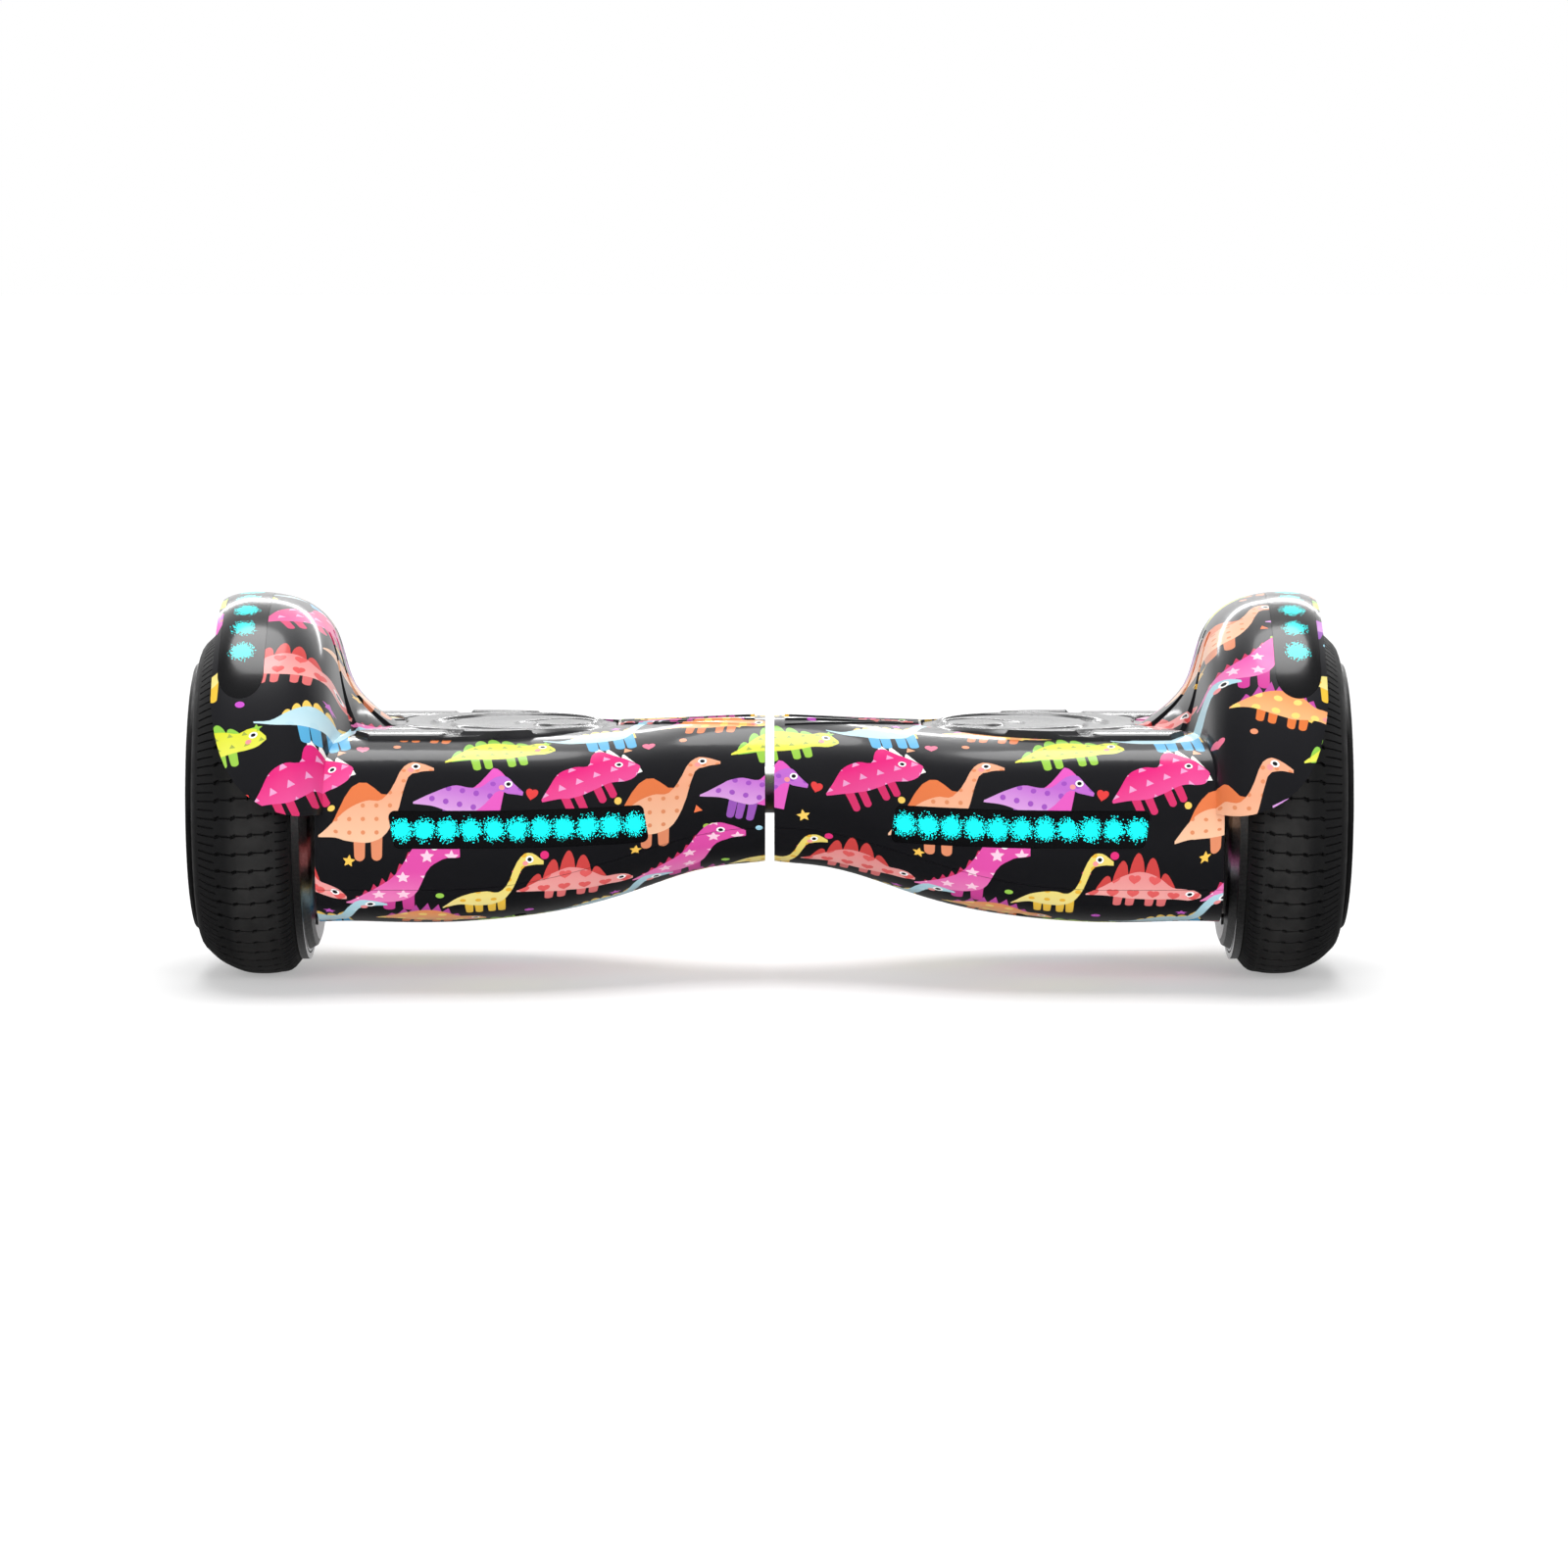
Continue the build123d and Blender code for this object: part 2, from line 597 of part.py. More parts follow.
with BuildPart() as motor_cover:
    add(
        turned(
            (COVER_FACE + 1.6, 10), (COVER_DOME + 1.6, 10), (COVER_DOME, 12), (COVER_DOME, 68.6),
            (COVER_DOME + 1.2, 71.4), (COVER_FACE, 73.2), (COVER_FACE, 74.4), (COVER_FACE + 1.6, 74.4)
        )
    )
    add(tube(COVER_DOME + 2, COVER_FACE + 1.6, 21, 50), mode=Mode.SUBTRACT)
    add(tube(221.2, 231, BEARING_RADIUS, 20))
    add(tube(221.2, 223.4, 40, 52.6))
    with BuildSketch(SIDE.offset(COVER_DOME - 1)):
        with PolarLocations(COVER_SCREW_CIRCLE, 6):
            Circle(1.5 + FIT)
    extrude(amount=8, mode=Mode.SUBTRACT)
save_pair("motor_cover", motor_cover)

with BuildPart() as cover_screws:
    with BuildSketch(SIDE.offset(COVER_DOME)):
        with PolarLocations(COVER_SCREW_CIRCLE, 6):
            Circle(2.7)
    extrude(amount=-1.1)
    with BuildSketch(SIDE.offset(COVER_DOME)):
        with PolarLocations(COVER_SCREW_CIRCLE, 6):
            Circle(1.5)
    extrude(amount=7)
save_pair("cover_screws", cover_screws)

MAGNET_COUNT = 30
with BuildPart() as magnets:
    add(tube(234, 250, 50.4, 53))
    with BuildSketch(SIDE.offset(233)):
        with PolarLocations(52, MAGNET_COUNT):
            Rectangle(8, 0.8)
    extrude(amount=18, mode=Mode.SUBTRACT)
save_pair("magnets", magnets)

with BuildPart() as wheel_bearings:
    for first in (221.6, 254):
        add(tube(first, first + 9, SHAFT_RADIUS + FIT, 10.5))
        add(tube(first + 1, first + 8, 10.5, 13.2))
        add(tube(first, first + 9, 13.2, BEARING_RADIUS))
save_pair("wheel_bearings", wheel_bearings)

with BuildPart() as axle:
    add(tube(177, 262.8, 3, SHAFT_RADIUS))
    with Locations((CLAMP_X, 0, AXLE + SHAFT_RADIUS)):
        Box(28.2, 16, 2.4, mode=Mode.SUBTRACT)
    chamfer(axle.faces().sort_by(Axis.X)[-1].edges(), length=0.8)
save_pair("axle", axle)

TOOTH_COUNT = 27
with BuildPart() as stator:
    add(tube(234, 250, SHAFT_RADIUS + FIT, 30))
    add(tube(234, 250, 46.6, 49.6))
    with BuildSketch(SIDE.offset(234)):
        with PolarLocations(38, TOOTH_COUNT):
            Rectangle(18, 3)
    extrude(amount=16)
    with BuildSketch(SIDE.offset(233)):
        with PolarLocations(48, TOOTH_COUNT, start_angle=180 / TOOTH_COUNT):
            Rectangle(6, 1.6)
        with PolarLocations(19, 6):
            Circle(4)
    extrude(amount=18, mode=Mode.SUBTRACT)
save_pair("stator", stator)

with BuildPart() as coils:
    with BuildSketch(SIDE.offset(231.8)):
        with PolarLocations(38.6, TOOTH_COUNT):
            Rectangle(14, 6.2)
    extrude(amount=20.4)
    with BuildSketch(SIDE.offset(234)):
        with PolarLocations(38.6, TOOTH_COUNT):
            Rectangle(16, 3)
    extrude(amount=16, mode=Mode.SUBTRACT)
save_pair("coils", coils)

# Pivot between the halves: tube held by the left frame, bushes and ring on the right.
with BuildPart() as pivot_tube:
    with BuildSketch(SIDE.offset(-58)):
        with Locations((0, PIVOT_RISE)):
            Circle(TUBE_RADIUS)
            Circle(9, mode=Mode.SUBTRACT)
    extrude(amount=120)
    chamfer(pivot_tube.edges().filter_by(GeomType.CIRCLE).group_by(Axis.X)[-1], length=0.6)
save("pivot_tube", pivot_tube)

with BuildPart() as pivot_bushes:
    for first in (12, 44):
        with BuildSketch(SIDE.offset(first)):
            with Locations((0, PIVOT_RISE)):
                Circle(BUSH_RADIUS)
                Circle(TUBE_RADIUS + 0.05, mode=Mode.SUBTRACT)
        extrude(amount=14)
save("pivot_bushes", pivot_bushes)

with BuildPart() as retaining_ring:
    with BuildSketch(SIDE.offset(58.6)):
        with Locations((0, PIVOT_RISE)):
            Circle(17)
            Circle(TUBE_RADIUS, mode=Mode.SUBTRACT)
            with Locations((0, -14)):
                Rectangle(3, 8, mode=Mode.SUBTRACT)
    extrude(amount=1.4)
save("retaining_ring", retaining_ring)

with BuildPart() as pivot_cable:
    with BuildSketch(SIDE.offset(-74)):
        with Locations((0, PIVOT_RISE)):
            Circle(4)
    extrude(amount=148)
save("pivot_cable", pivot_cable)

# Battery and its strap, under the left frame.
BATTERY_X = -151.0
with BuildPart() as battery_pack:
    with Locations((BATTERY_X, 0, AXLE - 49.8)):
        Box(94, 68, 36.2, align=(Align.CENTER, Align.CENTER, Align.MIN))
    fillet(battery_pack.edges().filter_by(Axis.Y), radius=8)
    with BuildSketch(Plane.XZ.offset(-34)):
        for row in (-40.6, -22.6):
            with Locations([(BATTERY_X + 18.5 * i, AXLE + row) for i in range(-2, 3)]):
                Circle(8)
    extrude(amount=0.6, mode=Mode.SUBTRACT)
save("battery_pack", battery_pack)

with BuildPart() as battery_strap:
    with Locations((BATTERY_X, 0, AXLE - 51)):
        Box(24, 70.6, 39, align=(Align.CENTER, Align.CENTER, Align.MIN))
    with Locations((BATTERY_X, 0, AXLE - 13.2)):
        Box(24, 92, 1.2, align=(Align.CENTER, Align.CENTER, Align.MIN))
    with Locations((BATTERY_X, 0, AXLE - 49.8)):
        Box(30, 68.2, 60, align=(Align.CENTER, Align.CENTER, Align.MIN), mode=Mode.SUBTRACT)
    with Locations([(BATTERY_X, y, AXLE - 13) for y in (-40.5, 40.5)]):
        Cylinder(2, 10, mode=Mode.SUBTRACT)
save("battery_strap", battery_strap)

# Control board and its heat sink, under the right frame.
BOARD_X = 142.0
with BuildPart() as main_board:
    with Locations((BOARD_X, 0, AXLE - 45)):
        Box(104, 66, 1.6, align=(Align.CENTER, Align.CENTER, Align.MIN))
    with Locations([(BOARD_X - 38, y, AXLE - 43.4) for y in (-20, 0, 20)]):
        Cylinder(6, 20, align=(Align.CENTER, Align.CENTER, Align.MIN))
    with Locations([(BOARD_X + 30 + x, y, AXLE - 43.4) for x in (-12, 12) for y in (-25, -15, -5, 5, 15, 25)]):
        Box(4.6, 8, 15, align=(Align.CENTER, Align.CENTER, Align.MIN))
    with Locations([(BOARD_X - 14, y, AXLE - 43.4) for y in (-22, -6, 10)]):
        Box(10, 12, 7, align=(Align.CENTER, Align.CENTER, Align.MIN))
    with Locations((BOARD_X + 2, 20, AXLE - 43.4)):
        Box(10, 10, 1.4, align=(Align.CENTER, Align.CENTER, Align.MIN))
save("main_board", main_board)

with BuildPart() as heat_sink:
    with Locations((BOARD_X + 30, 0, AXLE - 12)):
        Box(44, 62, 4, align=(Align.CENTER, Align.CENTER, Align.MAX))
    with Locations([(BOARD_X + 30 + x, 0, AXLE - 16) for x in (-6, 6)]):
        Box(5, 62, 22, align=(Align.CENTER, Align.CENTER, Align.MAX))
    with Locations([(BOARD_X + 30 + x, 0, AXLE - 16) for x in (-20, 20)]):
        Box(2, 62, 16, align=(Align.CENTER, Align.CENTER, Align.MAX))
save("heat_sink", heat_sink)

# Charging port, its hinged cap, and the power button, on the back of the right half.
BACK = Plane((0, BACK_SEAT, BACK_Z), x_dir=(-1, 0, 0), z_dir=(0, 1, 0))


def back_disc(x, first, last, radius, bore=0):
    """A round piece on the back seat, between two distances out of it."""
    with BuildPart() as disc:
        with BuildSketch(BACK.offset(first)):
            with Locations((-x, 0)):
                Circle(radius)
                if bore:
                    Circle(bore, mode=Mode.SUBTRACT)
        extrude(amount=last - first)
    return disc.part


HINGE_DROP = 11.5
hinge_line = (PORT_X, BACK_SEAT + 2.2, BACK_Z - HINGE_DROP)
with BuildPart() as charge_port:
    add(back_disc(PORT_X, 0, 1.2, 9.5, 5.4))
    add(back_disc(PORT_X, -14, 0, 7.4, 5.4))
    add(back_disc(PORT_X, -14, -11, 7.4))
    for x, z in ((-2.2, 1.2), (2.2, 1.2), (0, -2.4)):
        with Locations((PORT_X + x, BACK_SEAT - 9, BACK_Z + z)):
            Cylinder(0.8, 5, rotation=(90, 0, 0))
    with Locations((PORT_X, BACK_SEAT + 1.7, BACK_Z - HINGE_DROP + 0.4)):
        Box(12, 3.4, 4.8)
    with Locations((PORT_X, BACK_SEAT + 2.4, BACK_Z - HINGE_DROP + 0.4)):
        Box(7.6, 3.6, 5, mode=Mode.SUBTRACT)
    add(back_disc(PORT_X, -3, 2, 5.4), mode=Mode.SUBTRACT)
save("charge_port", charge_port)

with BuildPart() as charge_cap:
    add(back_disc(PORT_X, 1.5, 3.1, 9.2))
    add(back_disc(PORT_X, -1.4, 1.5, 4.7))
    with Locations((PORT_X, BACK_SEAT + 2.3, BACK_Z - 9.5)):
        Box(7, 1.6, 4)
    with Locations((PORT_X, BACK_SEAT + 2.3, BACK_Z + 9.6)):
        Box(5, 1.6, 3)
    with Locations(hinge_line):
        Cylinder(1.1, 7, rotation=(0, 90, 0))
save("charge_cap", charge_cap)

# Push switch: threaded body with its polished rim, and the button that travels in it.
with BuildPart() as power_switch:
    add(back_disc(BUTTON_X, 0, 1.4, 9, 6.2))
    add(back_disc(BUTTON_X, -5, 0, 7.2, 6.2))
    add(back_disc(BUTTON_X, -12, -5, 7.2))
    add(back_disc(BUTTON_X, -5, -3.4, 2.2))
save("power_switch", power_switch)

with BuildPart() as power_button:
    add(back_disc(BUTTON_X, -2, 3.0, 6.1))
    fillet(power_button.edges().filter_by(GeomType.CIRCLE).sort_by(Axis.Y)[-1], radius=0.8)
save("power_button", power_button)
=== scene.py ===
from math import cos, pi, radians, sin

import bpy
import numpy as np
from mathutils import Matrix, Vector


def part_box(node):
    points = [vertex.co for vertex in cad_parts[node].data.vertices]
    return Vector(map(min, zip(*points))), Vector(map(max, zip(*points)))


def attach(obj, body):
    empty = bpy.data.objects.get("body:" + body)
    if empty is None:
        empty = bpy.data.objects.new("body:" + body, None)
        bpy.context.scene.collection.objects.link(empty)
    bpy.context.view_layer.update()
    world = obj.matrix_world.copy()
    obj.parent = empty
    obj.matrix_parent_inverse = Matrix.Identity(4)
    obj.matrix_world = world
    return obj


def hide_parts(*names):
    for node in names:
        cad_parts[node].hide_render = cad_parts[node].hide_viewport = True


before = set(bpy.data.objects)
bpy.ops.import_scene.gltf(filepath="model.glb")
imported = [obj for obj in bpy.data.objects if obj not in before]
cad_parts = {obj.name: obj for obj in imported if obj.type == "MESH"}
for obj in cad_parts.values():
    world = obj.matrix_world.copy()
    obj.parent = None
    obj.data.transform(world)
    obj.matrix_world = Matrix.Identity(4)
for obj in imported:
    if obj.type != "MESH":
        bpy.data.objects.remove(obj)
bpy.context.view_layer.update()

# ---------------------------------------------------------------- places taken from the frame
SIDES = {"left": -1, "right": 1}
MM = 0.001
tyre_low, tyre_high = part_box("right_tyre")
AXLE_HEIGHT = (tyre_low.z + tyre_high.z) / 2
TYRE_RADIUS = (tyre_high.z - tyre_low.z) / 2


def srgb(red, green, blue, alpha=1.0):
    """A colour given as 0 to 255 on screen, as the linear values that shaders take."""
    shares = [c / 255 / 12.92 if c <= 10 else ((c / 255 + 0.055) / 1.055) ** 2.4 for c in (red, green, blue)]
    return (*shares, alpha)


# ---------------------------------------------------------------- a small kit for shader nodes
class Shader:
    """One material, with short calls for the nodes that feed its Principled surface."""

    def __init__(self, name, **sockets):
        self.material = bpy.data.materials.new(name)
        self.material.use_nodes = True
        self.tree = self.material.node_tree
        self.surface = self.tree.nodes["Principled BSDF"]
        for socket, value in sockets.items():
            self.feed(self.surface.inputs[socket.replace("_", " ")], value)

    def feed(self, socket, value):
        if isinstance(value, bpy.types.NodeSocket):
            self.tree.links.new(value, socket)
        else:
            socket.default_value = value

    def set(self, socket, value):
        self.feed(self.surface.inputs[socket], value)

    def node(self, kind, **settings):
        made = self.tree.nodes.new(kind)
        for name, value in settings.items():
            setattr(made, name, value)
        return made

    def math(self, operation, *values):
        made = self.node("ShaderNodeMath", operation=operation)
        for socket, value in zip(made.inputs, values):
            self.feed(socket, value)
        return made.outputs[0]

    def vector(self, operation, *values):
        made = self.node("ShaderNodeVectorMath", operation=operation)
        for socket, value in zip(made.inputs, values):
            self.feed(socket, value)
        return made.outputs["Value" if operation in ("LENGTH", "DISTANCE") else "Vector"]

    def split(self, vector):
        made = self.node("ShaderNodeSeparateXYZ")
        self.feed(made.inputs[0], vector)
        return made.outputs

    def join(self, x, y, z=0.0):
        made = self.node("ShaderNodeCombineXYZ")
        for socket, value in zip(made.inputs, (x, y, z)):
            self.feed(socket, value)
        return made.outputs[0]

    def mix(self, share, first, second):
        made = self.node("ShaderNodeMix", data_type="RGBA")
        for index, value in ((0, share), (6, first), (7, second)):
            self.feed(made.inputs[index], value)
        return made.outputs[2]

    def steps(self, value, low, high, to_low=0.0, to_high=1.0):
        made = self.node("ShaderNodeMapRange")
        for socket, item in zip(made.inputs, (value, low, high, to_low, to_high)):
            self.feed(socket, item)
        return made.outputs[0]

    def curve(self, value, points):
        """A function of a value from 0 to 1, through straight runs between points."""
        made = self.node("ShaderNodeFloatCurve")
        self.feed(made.inputs["Value"], value)
        line = made.mapping.curves[0]
        line.points[0].location = points[0]
        line.points[1].location = points[-1]
        for x, y in points[1:-1]:
            line.points.new(x, y)
        for point in line.points:
            point.handle_type = "VECTOR"
        made.mapping.update()
        return made.outputs[0]

    def place(self):
        """The point on the object, in millimetres, in the board's own frame."""
        coordinates = self.node("ShaderNodeTexCoord").outputs["Object"]
        return self.vector("MULTIPLY", coordinates, (1000, 1000, 1000))

    def noise(self, place, scale, detail=3.0, roughness=0.5):
        made = self.node("ShaderNodeTexNoise")
        self.feed(made.inputs["Vector"], place)
        for socket, value in (("Scale", scale), ("Detail", detail), ("Roughness", roughness)):
            self.feed(made.inputs[socket], value)
        return made.outputs[0]

    def bump(self, height, strength, distance=MM):
        made = self.node("ShaderNodeBump")
        for socket, value in (("Height", height), ("Strength", strength), ("Distance", distance)):
            self.feed(made.inputs[socket], value)
        self.set("Normal", made.outputs[0])


def paint(node, material):
    """Gives a CAD node or a piece its material."""
    if not node.material_slots:
        node.data.materials.append(None)
    for slot in node.material_slots:
        slot.material = material


# ---------------------------------------------------------------- the print on the shells
TILE = 133.0  # the print repeats at this distance both ways, in millimetres
SPAN = 300.0  # a little over half the board's length, in millimetres
DEPTHS = ((2, 35), (20, 36), (42, 44), (66, 58), (94, 71), (122, 78), (150, 80), (196, 80), (243, 97.6))
ANIMAL_SCALE = 1.14
BLACK = srgb(22, 22, 26)


def smooth(points, count=28):
    """A smooth line through given points, sampled evenly in x."""
    xs, ys = np.array(points).T
    slopes = np.gradient(ys, xs)
    x = np.linspace(xs[0], xs[-1], count)
    k = np.clip(np.searchsorted(xs, x, side="right") - 1, 0, len(xs) - 2)
    width = xs[k + 1] - xs[k]
    t = (x - xs[k]) / width
    y = (
        (2 * t**3 - 3 * t**2 + 1) * ys[k]
        + (t**3 - 2 * t**2 + t) * width * slopes[k]
        + (3 * t**2 - 2 * t**3) * ys[k + 1]
        + (t**3 - t**2) * width * slopes[k + 1]
    )
    return list(zip(x.tolist(), y.tolist()))


def height_on(line, x):
    xs, ys = zip(*line)
    return float(np.interp(x, xs, ys))


def closed(line, outside):
    """The line with a fixed value on both sides of its ends."""
    gap = 0.002
    return [(0.0, outside), (line[0][0] - gap, outside), *line, (line[-1][0] + gap, outside), (1.0, outside)]


def with_legs(bottom, legs, half_width, foot):
    """The bottom line with round-ended legs let into it."""
    line = []
    for leg in legs:
        left, right = leg - half_width, leg + half_width
        line += [p for p in bottom if p[0] < left and (not line or p[0] > line[-1][0])]
        line.append((left, height_on(bottom, left)))
        for turn in range(7):
            angle = pi * turn / 6
            line.append((leg - half_width * 0.98 * cos(angle), foot + half_width * (1 - sin(angle))))
        line.append((right, height_on(bottom, right)))
    return line + [p for p in bottom if p[0] > line[-1][0]]


def with_crest(top, first, last, rise, count, pointed):
    """The top line raised into a row of plates between two places."""
    line = []
    for step in range(count * 8 + 1):
        x = first + (last - first) * step / (count * 8)
        phase = (step / 8) % 1
        wave = 1 - abs(2 * phase - 1) if pointed else sin(pi * phase) ** 0.6
        envelope = sin(pi * (0.12 + 0.76 * step / (count * 8)))
        line.append((x, height_on(top, x) - 0.02 + rise * wave * envelope))
    return line


class Print(Shader):
    """The printed pattern, drawn one motif after another over the black ground."""

    def __init__(self, name, **sockets):
        super().__init__(name, **sockets)
        self.uv = self.unrolled()
        self.colour = BLACK

    def unrolled(self):
        """Place on the print: along the board, and round its section from the widest line."""
        x, y, z = self.split(self.place())
        rise = self.math("SUBTRACT", z, AXLE_HEIGHT * 1000)
        run = self.math("DIVIDE", self.math("ABSOLUTE", x), SPAN)
        depth_points = [(0.0, 0.35)] + [(px / SPAN, depth / 100) for px, depth in DEPTHS] + [(1.0, 0.976)]
        depth = self.math("MULTIPLY", self.curve(run, depth_points), 100.0)
        inward = self.math("MAXIMUM", self.math("SUBTRACT", depth, self.math("ABSOLUTE", y)), 0.0)
        turn = self.steps(rise, -14.0, 6.0, -1.0, 1.0)
        across = self.math("MULTIPLY_ADD", inward, turn, rise)
        back = self.math("GREATER_THAN", y, 0.0)
        along = self.math("MULTIPLY_ADD", back, TILE * 0.37, x)
        return self.join(along, across)

    def local(self, centre, turn, size):
        """Place within a motif, from 0 to 1 both ways, for the nearest repeat of it."""
        half = TILE / 2
        away = self.vector("SUBTRACT", self.uv, (centre[0], centre[1], 0))
        near = self.vector("WRAP", away, (half, half, half), (-half, -half, -half))
        if turn:
            spin = self.node("ShaderNodeVectorRotate", rotation_type="Z_AXIS")
            self.feed(spin.inputs["Vector"], near)
            spin.inputs["Angle"].default_value = radians(-turn)
            near = spin.outputs[0]
        width, height = size
        scaled = self.vector("MULTIPLY", near, (1 / width, 1 / height, 0))
        return self.vector("ADD", scaled, (0.5, 0.5, 0))

    def lay(self, mask, colour):
        self.colour = self.mix(mask, self.colour, colour)

    def between(self, y, low, high):
        return self.math("MULTIPLY", self.math("GREATER_THAN", y, low), self.math("LESS_THAN", y, high))

    def disc(self, place, radius):
        return self.math("LESS_THAN", self.vector("LENGTH", place), radius)

    def heart(self, place, radius):
        x, y, _ = self.split(place)
        lift = self.math("MULTIPLY_ADD", self.math("SQRT", self.math("ABSOLUTE", x)), -0.62 * radius**0.5, y)
        across = self.math("POWER", self.math("DIVIDE", x, radius), 2.0)
        up = self.math("POWER", self.math("DIVIDE", lift, radius * 0.86), 2.0)
        return self.math("LESS_THAN", self.math("ADD", across, up), 1.0)

    def star(self, place, radius):
        x, y, _ = self.split(place)
        angle = self.math("DIVIDE", self.math("ARCTAN2", x, y), 2 * pi / 5)
        fold = self.math("PINGPONG", angle, 0.5)
        reach = self.math("MULTIPLY_ADD", fold, 2.3 / radius, 1 / radius)
        return self.math("LESS_THAN", self.math("MULTIPLY", self.vector("LENGTH", place), reach), 1.0)

    def triangle(self, place, radius):
        x, y, _ = self.split(place)
        slope = self.math("MULTIPLY_ADD", self.math("ABSOLUTE", x), 0.866, self.math("MULTIPLY", y, 0.5))
        widest = self.math("MAXIMUM", slope, self.math("MULTIPLY", y, -1.0))
        return self.math("LESS_THAN", widest, radius * 0.5)

    def loose(self, kind, centre, radius, colour, turn=0):
        """One star, heart, disc or triangle on the ground between the animals."""
        place = self.vector("SUBTRACT", self.local(centre, turn, (10, 10)), (0.5, 0.5, 0))
        self.lay(getattr(self, kind)(place, radius / 10), colour)

    def animal(
        self, centre, turn, size, top, bottom, colours, legs, foot, leg_width=0.036,
        crest=None, spots=("disc", 5, 0.2), eye=(0.9, 0.4), cheek=None,
    ):
        """A cartoon dinosaur from its top and bottom lines.

        Colours are those of the body, belly, limbs, crest and spots.
        """
        body, belly, limb, plate, spot = colours
        aspect = size[1] / size[0]
        place = self.local(centre, turn, [ANIMAL_SCALE * length for length in size])
        x, y, _ = self.split(place)
        top, bottom = smooth(top), smooth(bottom)
        if crest:
            ridge = with_crest(top, *crest)
            self.lay(self.between(y, 0.3, self.curve(x, closed(ridge, 0.0))), plate)
        upper = self.curve(x, closed(top, 0.0))
        lower = self.curve(x, closed(bottom, 1.0))
        soles = self.curve(x, closed(with_legs(bottom, legs, leg_width, foot), 1.0))
        self.lay(self.between(y, soles, upper), limb)
        inside = self.between(y, lower, upper)
        kind, cells, radius = spots
        cell = self.vector("FRACTION", self.vector("MULTIPLY", place, (cells, cells * size[1] / size[0], 0)))
        mark = getattr(self, kind)(self.vector("SUBTRACT", cell, (0.5, 0.5, 0)), radius)
        shade = self.math("SUBTRACT", self.math("MULTIPLY", y, 2.4), 0.45)
        clamped = self.math("MINIMUM", self.math("MAXIMUM", shade, 0.0), 1.0)
        self.lay(inside, self.mix(mark, self.mix(clamped, belly, body), spot))
        from_eye = self.vector("MULTIPLY", self.vector("SUBTRACT", place, (*eye, 0)), (1.0, aspect, 0))
        distance = self.vector("LENGTH", from_eye)
        self.lay(self.math("LESS_THAN", distance, 0.036), srgb(250, 250, 250))
        self.lay(self.math("LESS_THAN", distance, 0.02), srgb(25, 25, 30))
        if cheek:
            from_cheek = self.vector("SUBTRACT", place, (*cheek, 0))
            blush = self.disc(self.vector("MULTIPLY", from_cheek, (1.0, aspect, 0)), 0.026)
            self.lay(blush, srgb(244, 150, 150))


